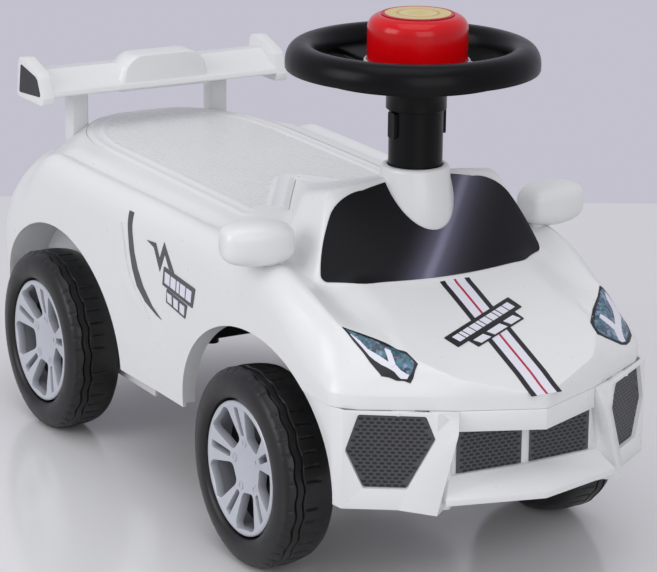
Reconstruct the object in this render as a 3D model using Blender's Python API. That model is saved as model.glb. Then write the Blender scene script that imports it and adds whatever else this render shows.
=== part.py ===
"""Kids push car: a foot-to-floor ride-on with a hollow body, a steered front axle, a push horn, a lift-up
seat over a storage tub and a rear wing. Metres, +Z up, the nose towards -Y, the ground at Z = 0. Places
count Y from the front axle; the whole car hangs on one empty that moves its middle to Y = 0."""

import math

import bmesh
import bpy
import numpy as np
from mathutils import Matrix, Vector

for old in list(bpy.data.objects):
    bpy.data.objects.remove(old, do_unlink=True)

# Driving sizes

gap = 0.0003  # between pieces that touch
play = 0.0005  # around pieces that turn or slide
wall = 0.0028  # moulded wall of the body

wheel_radius = 0.075
wheel_width = 0.045
wheel_base = 0.3555
body_half_width = 0.131
deck_height = 0.231
ground_clearance = 0.082
parting_height = 0.1535
rim_radius = 0.0935
column_radius = 0.020

wheel_outer_x = body_half_width + 0.016  # outer face of a wheel from the car's middle
wheel_inner_x = wheel_outer_x - wheel_width
hub_radius = wheel_radius - 0.024
axle_radius = 0.005
hub_face = wheel_outer_x - 0.0225  # outer face of the wheel's web
cap_centre = hub_face + 0.0060  # the hub cap is dished: its middle lies deeper than its lip
cap_lip = hub_face + 0.0123
front_cap_turn = math.radians(152)  # a slot's direction in the side view, from +Y towards +Z
rear_cap_turn = math.radians(167.4)

steer_y = -0.003
nose_y = -0.184
lip_y = -0.187  # the bumper's lower lip reaches this far
tail_y = 0.487
nose_height = parting_height + 0.0105
hood_slope = 0.405
shoulder_inset = 0.014
shoulder_drop = 0.026
above_deck = deck_height + 0.029  # cutters that open the deck end here
below_deck = deck_height - 0.021

arch_front_y = 0.007
arch_front_half = wheel_radius + 0.044
arch_rear_y = 0.343
arch_rear_half = wheel_radius + 0.035
arch_height = wheel_radius + 0.015
arch_base = wheel_radius + 0.010
flange_depth = 0.015

seat_level = deck_height + 0.003
roof_front = deck_height + 0.0475  # the cowl's roof at its front corners
roof_crown = 0.0045
roof_y = -0.003
cowl_tail_y = 0.1733  # the cowl's rear tip
cowl_taper = 0.634
seat_half = body_half_width - 0.044
cowl_half = seat_half + 0.0045  # half its width at the height of the seat
cowl_base_half = cowl_half + 0.003
cowl_side_slope = 2.3
screen_base_y = -0.0575
screen_side_y = -0.0315
screen_slope = 1.25  # in the middle; it is steeper at the sides
screen_low = deck_height - 0.0126
screen_corner = roof_front - 0.005

collar_radius = column_radius + 0.0055
collar_foot_radius = collar_radius + 0.002
collar_top = roof_front + 0.0111
tube_bottom = wheel_radius + 0.090
column_wall = 0.0035
column_floor = deck_height + 0.005
column_top = collar_top + 0.0624
rod_radius = 0.006

rim_bottom = column_top + 0.008
rim_shift = 0.006  # the rim's middle sits this far towards the rider
rim_height = 0.0190
sleeve_radius = column_radius + 0.0023
sleeve_bottom = column_top - 0.021
spoke_width = 0.022
hub_plate_radius = 0.040

horn_radius = 0.0368
horn_bottom = rim_bottom + 0.0105
horn_height = 0.030
horn_travel = 0.003
label_radius = horn_radius - 0.010

seat_front_y = 0.102
seat_notch = 0.0025  # between the cowl's foot and the seat lid's notch
seat_rear_y = 0.456
seat_round_y = 0.330
seat_crown = 0.006
seat_underside = deck_height - 0.0025
seat_gap = 0.0012
ledge_width = 0.012
ledge_thickness = 0.0027
flange_thickness = 0.0017

tub_half = seat_half - 0.015
tub_front_y = 0.2015
tub_rear_y = 0.425
tub_bottom = ground_clearance + 0.0225
tub_wall = 0.0025

wing_half = body_half_width - 0.025
wing_height = deck_height + 0.037
plate_thickness = 0.010
post_inner_x = 0.059
post_width = 0.0155
post_front_y = 0.4345
post_depth = 0.0165

mirror_x = body_half_width - 0.004
mirror_y = 0.006
mirror_z = deck_height + 0.012
mirror_size = (0.029, 0.018, 0.0165)
mirror_sweep = math.radians(12)

hinge_radius = 0.0022
hinge_pin_radius = 0.0010
stem_radius = 0.0040
stem_x = body_half_width - 0.017
stem_y = 0.000
bush_radius = 0.0105
screw_radius = 0.0018
screw_reach = 0.0115  # above the bumper's top


# Formulas


def ramp(a, b, x):
    """0 before a, 1 after b, smooth between."""
    t = np.clip((np.asarray(x, float) - a) / (b - a), 0.0, 1.0)
    return t * t * (3 - 2 * t)


def lower(a, b, k):
    """The smaller of two heights, rounded over k where they cross."""
    h = np.clip(0.5 + 0.5 * (b - a) / k, 0.0, 1.0)
    return b * (1 - h) + a * h - k * h * (1 - h)


def higher(a, b, k):
    return -lower(-a, -b, k)


# The body's outer surface

cheek_y = -0.125  # where the nose's V meets the side
cheek_half = body_half_width - 0.014
beak_y = -0.160  # where the V bends
beak_half = 0.057
corner_y = -0.104  # where the side is full width
tail_round_y = 0.380
tail_drop_y = 0.445
tops = 11  # points across the top of a cross-section, from the middle out
seat_rim = seat_half + 0.0055  # inside this half-width the deck is thick enough to carry the lid
ledge_top = seat_underside - flange_thickness - 2 * gap
ledge_bottom = ledge_top - ledge_thickness


def half_width(y):
    """Half the car's width at y, at its widest height."""
    if y < beak_y:
        return beak_half * max(0.0, (y - nose_y) / (beak_y - nose_y))
    if y < cheek_y:
        return beak_half + (cheek_half - beak_half) * (y - beak_y) / (cheek_y - beak_y)
    if y < corner_y:
        t = (y - cheek_y) / (corner_y - cheek_y)
        return cheek_half + (body_half_width - cheek_half) * math.sin(t * math.pi / 2)
    if y < tail_round_y:
        return body_half_width + 0.003 * float(ramp(0.15, 0.30, y))
    t = (y - tail_round_y) / (tail_y + 0.003 - tail_round_y)
    return (body_half_width + 0.003) * (1 - t**2.2) ** (1 / 2.2)


def deck(y):
    """Height of the hood, the shoulder and the tail at y."""
    hood = nose_height + hood_slope * (y - nose_y)
    z = float(lower(hood, deck_height, 0.014))
    if y > tail_drop_y:
        t = (y - tail_drop_y) / (tail_y + 0.003 - tail_drop_y)
        z = ground_clearance + (z - ground_clearance) * (1 - t**2.5) ** 0.4
    return z


def flat_half(y):
    """Half the width of the flat top: it narrows to the nose and the tail."""
    w = half_width(y)
    edge = body_half_width - 0.021 + (y + 0.088) * 0.77
    full = w - shoulder_inset - 0.007 * (1 - float(ramp(-0.09, 0.06, y)))
    full = min(full, w * (1 - 0.26 * float(ramp(0.36, 0.46, y))))
    return min(edge, 0.9 * w) if y < corner_y else min(edge if y < 0 else full, full)


def screen_y(x):
    """Where the windscreen starts on the hood."""
    return screen_base_y + (screen_side_y - screen_base_y) * (x / cowl_base_half) ** 2


def screen_rise(x):
    """The windscreen's slope at x."""
    return screen_slope + 0.17 * min((x / 0.066) ** 2, 1.8)


def foot_half(y):
    """Half the cowl's width at the height of the seat."""
    return min(cowl_half, cowl_taper * (cowl_tail_y - y))


def cowl(x, y):
    """The hump that carries the windscreen and the column."""
    x = abs(x)
    base = deck_height - 0.014
    front = base + screen_rise(x) * (y - screen_y(x))
    fall = (roof_front - seat_level) / (cowl_tail_y - roof_y)
    crown = roof_crown * (1 - (x / 0.066) ** 2) * (1 - float(ramp(0.0, 0.15, y)))
    roof = roof_front + crown - fall * (y - roof_y)
    side = seat_level + cowl_side_slope * (foot_half(y) - x)
    return float(lower(lower(front, roof, 0.007), side, 0.009))


def seat_height(x, y):
    """Height of the deck and the seat, without the cowl."""
    x = abs(x)
    groove_x = half_width(y) - 0.024
    along = float(ramp(0.06, 0.12, y) * (1 - ramp(0.36, 0.41, y)))
    crown = seat_crown * max(0.0, 1 - (x / max(groove_x, 0.01)) ** 4) * float(ramp(0.06, 0.13, y))
    crown *= 1 - float(ramp(0.45, 0.475, y))
    groove = 0.003 * along * math.exp(-(((x - groove_x) / 0.006) ** 2))
    valley = float(ramp(-0.11, -0.05, y) * (1 - ramp(-0.01, 0.04, y)))
    valley *= 0.008 * math.exp(-(((x - 0.093) / 0.016) ** 2))
    return deck(y) + crown - groove - valley - tail_fall(x, y)


def tail_fall(x, y):
    """How far the surface round the seat's rear end falls away from it."""
    along = max(y - seat_round_y, 0.0) / (seat_rear_y - seat_round_y)
    out = ((abs(x) / seat_half) ** 2.35 + along**2.35) ** (1 / 2.35) - 1
    return 0.070 * max(out, 0.0) * float(ramp(0.36, 0.43, y))


def top_height(x, y):
    """Height of the upper surface at (x, y)."""
    z = seat_height(x, y)
    return float(higher(z, cowl(x, y), 0.006)) if y < cowl_tail_y + 0.02 else z


def across_points(y):
    """Places across the top, from the middle out, that follow the cowl's edges and the seat's rim."""
    xt = flat_half(y)
    scale = min(1.0, xt / (seat_half + 0.025))
    tip = float(ramp(cowl_tail_y, cowl_tail_y + 0.05, y))
    foot = max(foot_half(y), 0.002) * (1 - tip) + 0.060 * tip
    roof = roof_front - (roof_front - seat_level) * (y - roof_y) / (cowl_tail_y - roof_y)
    if y < roof_y:
        foot += (seat_level - deck(max(y, screen_base_y))) / cowl_side_slope
        roof = deck_height - 0.014 + screen_rise(0.08) * (y - screen_y(0.08))
    reach = foot_half(y) - (roof - seat_level) / cowl_side_slope
    edge = min(max(reach, 0.4 * foot), 0.9 * foot)
    rim = max(seat_rim, foot + 0.004)
    keys = [edge * k / 4 for k in range(5)]
    keys += [(edge + foot) / 2, foot, (foot + rim) / 2, rim, rim + 0.0035]
    return [k * scale for k in keys] + [xt]


def section(y, around, down):
    """Right half of the cross-section at y, from the middle of the top to the sill: (x, z) points."""
    w = half_width(y)
    xt = flat_half(y)
    zt = top_height(xt, y)
    front = 1 - float(ramp(-0.12, -0.02, y))
    drop = shoulder_drop + 0.030 * float(ramp(0.36, 0.47, y))
    full_drop = zt - (parting_height + 0.0095)
    if y < 0:
        drop = full_drop * front + drop * (1 - front)
    drop = min(drop, 0.6 * (zt - ground_clearance))
    zw = zt - drop
    power = 2 - 0.75 * front
    points = [(x, top_height(x, y)) for x in across_points(y)]
    for i in range(1, around + 1):
        a = math.pi / 2 * i / around
        x = xt + (w - xt) * math.sin(a) ** (2 / power)
        points.append((x, zw + (zt - zw) * math.cos(a) ** (2 / power)))
    tuck = 0.005
    for i in range(1, down + 1):
        t = i / down
        z = zw + (ground_clearance - zw) * t
        points.append((w - tuck * t * t * min(1.0, w / 0.05), z))
    return points


# Making objects


def material(name, colour, roughness, metallic=0.0):
    made = bpy.data.materials.new(name)
    made.use_nodes = True
    shader = made.node_tree.nodes["Principled BSDF"]
    shader.inputs["Base Color"].default_value = (*colour, 1.0)
    shader.inputs["Roughness"].default_value = roughness
    shader.inputs["Metallic"].default_value = metallic
    return made


white = material("white_polypropylene", (0.71, 0.73, 0.76), 0.3)
black = material("black_polypropylene", (0.012, 0.012, 0.014), 0.4)
tyre_black = material("tyre_black", (0.01, 0.01, 0.01), 0.55)
silver = material("silver_plastic", (0.5, 0.5, 0.55), 0.35, 0.6)
red = material("red_plastic", (0.6, 0.01, 0.015), 0.25)
yellow = material("printed_label", (0.7, 0.6, 0.3), 0.5)
clear = material("milky_plastic", (0.75, 0.76, 0.8), 0.3)
steel = material("zinc_steel", (0.55, 0.55, 0.57), 0.35, 1.0)
print_black = material("printed_film", (0.01, 0.01, 0.012), 0.2)


def empty(name, place, parent=None):
    made = bpy.data.objects.new(name, None)
    bpy.context.scene.collection.objects.link(made)
    made.location = place
    made.parent = parent
    return made


car = empty("car", (0, -(lip_y + tail_y) / 2, 0))
steering_axis = empty("steering_axis", (0, steer_y, 0), car)


def shaped(name, bm, mat, origin=(0, 0, 0), parent=None):
    """Object from a bmesh in the car's coordinates, with its origin at the given place."""
    bmesh.ops.recalc_face_normals(bm, faces=bm.faces)
    mesh = bpy.data.meshes.new(name)
    bm.to_mesh(mesh)
    bm.free()
    mesh.transform(Matrix.Translation(-Vector(origin)))
    mesh.materials.append(mat)
    mesh.shade_smooth()
    mesh.set_sharp_from_angle(angle=math.radians(35))
    obj = bpy.data.objects.new(name, mesh)
    bpy.context.scene.collection.objects.link(obj)
    obj.location = Vector(origin) - (parent.location if parent else Vector((0, 0, 0)))
    obj.parent = parent or car
    return obj


def skin(rings, close_ends=True, loop=True):
    """Closed bmesh through rings of equally many points."""
    bm = bmesh.new()
    rows = [[bm.verts.new(p) for p in ring] for ring in rings]
    count = len(rows[0])
    for a, b in zip(rows, rows[1:] + ([rows[0]] if not close_ends else [])):
        for i in range(count if loop else count - 1):
            j = (i + 1) % count
            bm.faces.new((a[i], a[j], b[j], b[i]))
    if close_ends:
        bm.faces.new(rows[0])
        bm.faces.new(rows[-1])
    return bm


def prism(outline, axis, lo, hi):
    """Closed bmesh: an outline of (a, b) points swept along an axis from lo to hi. The outline's
    coordinates are (y, z) for the X axis, (x, z) for Y and (x, y) for Z."""
    place = {
        "X": lambda a, b, h: (h, a, b),
        "Y": lambda a, b, h: (a, h, b),
        "Z": lambda a, b, h: (a, b, h),
    }[axis]
    return skin([[place(a, b, h) for a, b in outline] for h in (lo, hi)])


def block(lo, hi):
    return prism([(lo[0], lo[1]), (hi[0], lo[1]), (hi[0], hi[1]), (lo[0], hi[1])], "Z", lo[2], hi[2])


def turned(profile, centre, axis="Z", steps=28):
    """Closed bmesh: a closed profile of (radius, height) points turned about an axis through centre."""
    bm = bmesh.new()
    columns = []
    poles = {}
    for s in range(steps):
        a = 2 * math.pi * s / steps
        column = []
        for k, (r, h) in enumerate(profile):
            if r < 1e-7:
                if k not in poles:
                    poles[k] = bm.verts.new(spot(0, 0, h, centre, axis))
                column.append(poles[k])
            else:
                column.append(bm.verts.new(spot(r * math.cos(a), r * math.sin(a), h, centre, axis)))
        columns.append(column)
    for s in range(steps):
        one, two = columns[s], columns[(s + 1) % steps]
        for k in range(len(profile)):
            m = (k + 1) % len(profile)
            corners = []
            for v in (one[k], one[m], two[m], two[k]):
                if v not in corners:
                    corners.append(v)
            if len(corners) > 2:
                bm.faces.new(corners)
    return bm


def spot(a, b, h, centre, axis):
    turned_to = {"X": (h, a, b), "Y": (a, h, b), "Z": (a, b, h)}[axis]
    return tuple(c + t for c, t in zip(centre, turned_to))


def disc(radius, lo, hi, centre, axis="Z", steps=24):
    return turned([(0, lo), (radius, lo), (radius, hi), (0, hi)], centre, axis, steps)


def tube(outer, inner, lo, hi, centre, axis="Z", steps=24):
    return turned([(inner, lo), (outer, lo), (outer, hi), (inner, hi)], centre, axis, steps)


def helper(name, bm):
    """A hidden shape that Booleans add or take away."""
    obj = shaped(name, bm, white)
    obj.hide_render = True
    obj.display_type = "WIRE"
    return obj


def combine(obj, operation, bm):
    modifier = obj.modifiers.new(operation.lower(), "BOOLEAN")
    modifier.operation = operation
    modifier.solver = "EXACT"
    modifier.object = helper(f"{obj.name}_{len(obj.modifiers)}", bm)


def cut(obj, bm):
    combine(obj, "DIFFERENCE", bm)


def add(obj, bm):
    combine(obj, "UNION", bm)


# Body shell


def stations(first, last):
    """Places of the cross-sections along the car, closer where the shape turns."""
    fixed = [nose_y, -0.172, beak_y, -0.148, -0.136, cheek_y, -0.114, corner_y, -0.088, -0.070]
    fixed += [screen_base_y, -0.046, -0.036, -0.026, -0.016, -0.008, 0.001, 0.010, 0.036, 0.062]
    fixed += [rim_front, rim_front + 0.005]
    fixed += [0.140, cowl_tail_y - 0.004, 0.200, 0.260, 0.330, tail_round_y, 0.405, 0.425, 0.442, 0.456]
    fixed += [rim_rear, rim_rear + 0.004, 0.478, 0.484]
    return [first] + [y for y in fixed if first + 0.002 < y < last - 0.002] + [last]


rim_front = seat_front_y - 0.0105
rim_rear = seat_rear_y + 0.0105


def curved_row(y, around, down):
    """A row of (x, y, z) points over the right half. Near the windscreen it bends with its lower edge."""
    bend = float(ramp(-0.100, screen_base_y, y) * (1 - ramp(screen_base_y, 0.004, y)))
    bend *= screen_side_y - screen_base_y
    points = []
    for i, (x, z) in enumerate(section(y + bend, around, down)):
        if i < tops:
            y_here = y + bend * min(1.0, (x / cowl_base_half) ** 2)
            points.append((x, y_here, top_height(x, y_here)))
        else:
            points.append((x, y + bend, z))
    return points


def outer_body():
    rings = []
    for y in stations(nose_y + 0.0012, tail_y):
        half = curved_row(y, 4, 3)
        rings.append([(-x, yy, z) for x, yy, z in reversed(half[1:])] + half)
    return skin(rings)


def slopes(x, y, step=0.001):
    """Slopes of the upper surface across and along the car."""
    across = (top_height(x + step, y) - top_height(x - step, y)) / (2 * step)
    along = (top_height(x, y + step) - top_height(x, y - step)) / (2 * step)
    return across, along


def inner_body():
    """The hollow: each cross-section moved in by the wall, open at the bottom. Round the seat it stays
    below the ledge, so the deck is thick there."""
    rings = []
    for y_row in stations(nose_y + 0.0085, tail_y - wall - 0.001):
        half = curved_row(y_row, 3, 2)
        taper = (half_width(y_row + 0.001) - half_width(y_row - 0.001)) / 0.002
        spread = min(math.hypot(1.0, taper), 3.0)
        at_seat = rim_front + 0.001 < y_row < rim_rear + 0.001
        moved = []
        for i, (x, y, z) in enumerate(half):
            if i < tops:
                across, along = slopes(x, y)
                z_in = z - wall * min(math.sqrt(1 + across**2 + along**2), 3.0)
                if at_seat and i < tops - 2 and z < seat_height(x, y) + 0.012:
                    z_in = min(z_in, ledge_bottom)
                moved.append((x * (1 - wall * spread / half[-1][0]), y, z_in))
                continue
            before = half[i - 1]
            after = half[min(i + 1, len(half) - 1)]
            dx, dz = after[0] - before[0], after[2] - before[2]
            size = math.hypot(dx, dz)
            moved.append((x + wall * dz / size * spread, y, z - wall * abs(dx) / size))
        # The sill row goes on down past the outer body's flat bottom.
        moved[-1] = (moved[-1][0], moved[-1][1], ground_clearance - 0.01)
        rings.append([(-x, y, z) for x, y, z in reversed(moved[1:])] + moved)
    return skin(rings)


def side_x(y, z):
    """Half-width of the body's side at (y, z)."""
    half = section(y, 8, 8)
    xs, zs = zip(*half[::-1])
    return float(np.interp(z, zs, xs))


def arch_outline(middle, half, grow=0.0, below=0.1, steps=16):
    """A wheel arch from the side: half an ellipse over a straight opening."""
    points = []
    for i in range(steps + 1):
        a = math.pi * i / steps
        points.append((middle + (half + grow) * math.cos(a), arch_base + (arch_height + grow) * math.sin(a)))
    return points + [(middle - half - grow, arch_base - below), (middle + half + grow, arch_base - below)]


def arch_band(side, middle, half, inner_x, first, last, steps=14):
    """Closed bmesh of an arch's return flange, from inside the side wall inwards to inner_x."""
    rings = []
    for i in range(steps + 1):
        a = math.radians(first + (last - first) * i / steps)
        ring = []
        for x_place, out in ((0, 0), (1, 0), (1, wall), (0, wall)):
            y = middle + (half + out) * math.cos(a)
            z = arch_base + (arch_height + out) * math.sin(a)
            x = side_x(y, z) - wall / 2 if x_place else inner_x
            ring.append((side * x, y, z))
        rings.append(ring)
    return skin(rings)


def round_end(half, reach, steps):
    """The right half of a long round end behind seat_round_y."""
    points = []
    for i in range(steps // 2 + 1):
        a = math.pi * i / steps
        x = half * math.cos(a) ** 0.85 if i < steps // 2 else 0.0
        points.append((x, seat_round_y + reach * math.sin(a) ** 0.85))
    return points


def seat_outline(grow, steps=14):
    """The seat lid from above: a notch for the cowl in front, straight sides, a long round rear."""
    half = seat_half + grow
    reach = seat_rear_y + grow - seat_round_y
    front = seat_front_y - grow
    notch = seat_notch - grow * math.hypot(1.0, cowl_taper)
    edge = cowl_taper * (cowl_tail_y - front) + notch
    points = [(edge, front), (half - 0.012, front), (half - 0.0035, front + 0.0035), (half, front + 0.012)]
    points += round_end(half, reach, steps)
    left = [(-x, y) for x, y in reversed(points[:-1])]
    return points + left + [(0.0, cowl_tail_y + notch / cowl_taper)]


body = shaped("body_shell", outer_body(), white)
cut(body, inner_body())
cut(body, block((-0.2, nose_y - 0.05, 0.0), (0.2, arch_front_y - 0.06, parting_height + gap)))
cut(body, prism(arch_outline(arch_front_y, arch_front_half), "X", -0.2, 0.2))
cut(body, prism(arch_outline(arch_rear_y, arch_rear_half), "X", -0.2, 0.2))
flange_end = math.degrees(math.pi - math.asin((parting_height + 0.003 - arch_base) / arch_height))
flange_inner = body_half_width - flange_depth
well_inner = wheel_inner_x - 0.0045
well_wall = 0.0025
for side in (-1, 1):
    add(body, arch_band(side, arch_front_y, arch_front_half, flange_inner, 0, flange_end))
    add(body, arch_band(side, arch_rear_y, arch_rear_half, well_inner - 0.001, 0, 180))
    wall_shape = arch_outline(arch_rear_y, arch_rear_half, wall * 0.5, 0.030)
    low, high = sorted((side * well_inner, side * (well_inner - well_wall)))
    add(body, prism(wall_shape, "X", low, high))
collar_centre = (0, steer_y, 0)
add(body, turned(
    [(0, tube_bottom), (collar_radius - 0.004, tube_bottom), (collar_foot_radius, column_floor),
     (collar_foot_radius, roof_front - 0.0165), (collar_radius, collar_top - 0.004),
     (collar_radius - 0.002, collar_top), (0, collar_top)], collar_centre, "Z", 28))
screw_x, screw_y = body_half_width - 0.041, -0.100
boss_top = parting_height + 0.040
for side in (-1, 1):
    add(body, disc(0.006, parting_height + gap, boss_top, (side * screw_x, screw_y, 0), "Z", 12))
cut(body, prism(seat_outline(seat_gap), "Z", ledge_top, above_deck))
cut(body, prism(seat_outline(-ledge_width), "Z", ledge_top - 0.02, ledge_top + 0.02))
hinge_y = seat_rear_y + 0.0030
hinge_z = seat_height(0, hinge_y) + 0.0006
hinge_half = 0.022
knuckle_half = 0.0125
hinge_room = hinge_half + play
cut(body, block(
    (-hinge_room, seat_rear_y - 0.006, below_deck), (hinge_room, hinge_y + hinge_radius + play, above_deck)))
for side in (-1, 1):
    near, far = sorted((side * (knuckle_half + play), side * (hinge_half + 0.004)))
    add(body, disc(hinge_radius, near, far, (0, hinge_y, hinge_z), "X", 12))
cut(body, disc(hinge_pin_radius + gap, -0.03, 0.03, (0, hinge_y, hinge_z), "X", 12))
post_bottom = deck_height - 0.026
for side in (-1, 1):
    near, far = sorted((side * (post_inner_x - gap), side * (post_inner_x + post_width + gap)))
    rear_end = post_front_y + post_depth + gap
    cut(body, block((near, post_front_y - gap, post_bottom - 0.02), (far, rear_end, above_deck)))
    stem_low, stem_high = deck_height - 0.041, deck_height + 0.009
    cut(body, disc(stem_radius + gap, stem_low, stem_high, (side * stem_x, stem_y, 0), "Z", 12))
    screw_low, screw_high = parting_height - 0.0135, parting_height + screw_reach + 0.001
    cut(body, disc(screw_radius + gap, screw_low, screw_high, (side * screw_x, screw_y, 0), "Z", 10))
cut(body, disc(column_radius + play, column_floor - gap, collar_top + 0.02, collar_centre))
cut(body, disc(bush_radius + gap, tube_bottom - 0.02, column_floor + 0.01, collar_centre, "Z", 20))
cut(body, disc(axle_radius + gap, -0.2, 0.2, (0, wheel_base, wheel_radius), "X", 20))

# Front bumper

fang_y = -0.166
fang_x = beak_half + 0.020
fang_inner_x = beak_half + 0.0015
lip_bottom = ground_clearance + 0.009
lip_top = ground_clearance + 0.0215
grille_y = -0.155
face_outer_x = body_half_width - 0.0025
face_outer_y = -0.122
pocket_depth = 0.010
bumper_top = parting_height
beak_bottom = bumper_top - 0.015


def bumper_outline(inset, tail):
    """The bumper's wall from above, right half, from the grille's middle to the arch."""
    return [
        (0.0, grille_y - 0.003 + inset),
        (fang_inner_x - inset * 0.3, grille_y + inset),
        (fang_inner_x + 0.004, beak_y - 0.001 + inset * 1.1),
        (fang_x - 0.004, beak_y + 0.002 + inset * 1.1),
        (face_outer_x - inset * 1.0, face_outer_y + inset * 0.8),
        (body_half_width - 0.001 - inset, face_outer_y + 0.012),
        (body_half_width - 0.0002 - inset, tail),
    ]


def mirrored(outline):
    return outline + [(-x, y) for x, y in reversed(outline) if x > 1e-6]


bumper_tail = arch_front_y - 0.058
band_wall = 0.003
outer_line = bumper_outline(0.0, bumper_tail)
inner_line = bumper_outline(band_wall, bumper_tail)
ring = outer_line[::-1] + [(-x, y) for x, y in outer_line[1:]]
ring += [(-x, y) for x, y in inner_line[::-1]] + inner_line[1:]
bumper = shaped("front_bumper", prism(ring, "Z", ground_clearance, bumper_top), white)
beak = [(0.0, nose_y), (beak_half, beak_y), (beak_half + 0.003, beak_y + 0.012), (0.0, grille_y + 0.002)]
add(bumper, prism(mirrored(beak), "Z", beak_bottom, bumper_top))
low_lip = [(0.0, lip_y), (fang_x - 0.010, fang_y - 0.003), (fang_x - 0.012, grille_y + 0.001)]
low_lip += [(0.0, grille_y + 0.001)]
add(bumper, prism(mirrored(low_lip), "Z", lip_bottom, lip_top))
fang_top = [(fang_inner_x, beak_y), (fang_x - 0.002, beak_y + 0.004)]
fang_top += [(fang_x - 0.002, grille_y + 0.007), (fang_inner_x, grille_y + 0.007)]
fang_foot = [(fang_x - 0.009, fang_y), (fang_x, fang_y + 0.001)]
fang_foot += [(fang_x + 0.004, grille_y + 0.005), (fang_x - 0.009, grille_y + 0.007)]
for side in (-1, 1):
    add(bumper, skin([
        [(side * x, y, bumper_top) for x, y in fang_top],
        [(side * x, y, ground_clearance) for x, y in fang_foot],
    ]))


def along_face(t, depth, side=1):
    """(x, y) on the side intake's face: t from the outer corner to the inner one, depth behind it."""
    dx, dy = (fang_x - 0.004) - face_outer_x, (beak_y + 0.002) - face_outer_y
    size = math.hypot(dx, dy)
    nx, ny = dy / size, -dx / size
    return side * (face_outer_x + dx * t + nx * depth), face_outer_y + dy * t + ny * depth


intake_top = bumper_top - 0.0025
intake_low = ground_clearance + 0.0165
intake_shape = [(0.17, intake_top), (0.86, intake_top - 0.0005), (0.97, intake_top - 0.015)]
intake_shape += [(0.66, intake_low), (0.20, intake_low), (0.035, intake_low + 0.0255)]


def intake(side, near, far, grow):
    """Closed bmesh in the shape of the side intake's opening, between two depths."""
    middle_t = sum(t for t, _ in intake_shape) / 6
    middle_z = sum(z for _, z in intake_shape) / 6
    length = math.hypot(fang_x - 0.004 - face_outer_x, beak_y + 0.002 - face_outer_y)
    rings = []
    for depth in (near, far):
        points = []
        for t, z in intake_shape:
            away = math.hypot((t - middle_t) * length, z - middle_z)
            f = 1 + grow / away
            x, y = along_face(middle_t + (t - middle_t) * f, depth, side)
            points.append((x, y, middle_z + (z - middle_z) * f))
        rings.append(points)
    return skin(rings)


film = 0.0006
tab_thickness = 0.003
for side in (-1, 1):
    near, far = sorted((side * (screw_x - 0.007), side * (screw_x + 0.007)))
    add(bumper, block((near, -0.144, bumper_top - tab_thickness), (far, screw_y + 0.007, bumper_top)))
    add(bumper, intake(side, 0.001, pocket_depth + 0.0025, 0.0025))
    cut(bumper, intake(side, -0.02, pocket_depth, 0.0))
cut(bumper, prism(arch_outline(arch_front_y, arch_front_half), "X", -0.2, 0.2))
cut(bumper, block((-0.2, nose_y - 0.02, bumper_top), (0.2, 0.0, 0.3)))
for side, word in ((-1, "right"), (1, "left")):
    panel = intake(side, pocket_depth - gap - film, pocket_depth - gap, -0.0006)
    shaped(f"intake_panel_{word}", panel, print_black)
    x_in, x_out = 0.0035, fang_inner_x - 0.003
    front = grille_y - 0.003 - gap
    rings = []
    for back in (film + gap, 0.0):
        inner, outer = ((side * x, front - back + 0.003 * x / fang_inner_x) for x in (x_in, x_out))
        low, high = lip_top + 0.001, beak_bottom - 0.001
        rings.append([(*inner, low), (*outer, low), (*outer, high), (*inner, high)])
    shaped(f"grille_panel_{word}", skin(rings), print_black)


def steered(name, bm, mat):
    """A piece that turns with the steering column."""
    return shaped(name, bm, mat, (0, steer_y, 0), steering_axis)


# Windscreen panel

def screen_point(x, z):
    """The place on the cowl's front at (x, z)."""
    near, far = -0.0640, 0.0005
    for _ in range(30):
        y = (near + far) / 2
        near, far = (y, far) if top_height(x, y) < z else (near, y)
    return Vector((x, near, z))


def screen_sheet(rise, rows=7, columns=8):
    """A thin sheet over the cowl's front: narrower towards the roof, with an arched top edge."""
    lean = math.hypot(1.0, screen_slope)
    normal = Vector((0, -screen_slope / lean, 1 / lean))
    rings = []
    for k in range(rows + 1):
        t = k / rows
        z_side = screen_low + (screen_corner - screen_low) * t
        edge = float(np.interp(t, (0.0, 0.04, 0.45, 0.92, 1.0), (0.0925, 0.0940, 0.0862, 0.0690, 0.0630)))
        surface = []
        for j in range(-columns, columns + 1):
            x = edge * j / columns
            surface.append(screen_point(x, z_side + (0.0055 * t - 0.0005) * (1 - (j / columns) ** 2)))
        back = [tuple(p + normal * rise) for p in surface]
        front = [tuple(p + normal * (rise + film)) for p in reversed(surface)]
        rings.append(back + front)
    return skin(rings)


screen = shaped("windscreen_panel", screen_sheet(0.0009), print_black)
cut(screen, disc(collar_foot_radius + gap, 0.16, 0.30, collar_centre, "Z", 28))


def moved_body(up):
    """The body's outer volume, moved up a little."""
    bm = outer_body()
    bmesh.ops.translate(bm, verts=bm.verts, vec=(0, 0, up))
    return bm


# Seat lid


def seat_block():
    """Everything under the seat's surface, down to below the lid."""
    rows = [0.095, 0.108, 0.120, 0.140, 0.230, 0.330, 0.380, 0.405, 0.425, 0.442, 0.450, 0.458, 0.464]
    shares = (-1.0, -0.875, -0.729, -0.521, -0.260, 0.0, 0.260, 0.521, 0.729, 0.875, 1.0)
    steps = [(seat_half + 0.009) * share for share in shares]
    rings = []
    for y in rows:
        ends = [(side * steps[-1], y, seat_underside - 0.0585) for side in (1, -1)]
        rings.append([(x, y, seat_height(x, y)) for x in steps] + ends)
    return skin(rings)


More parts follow.
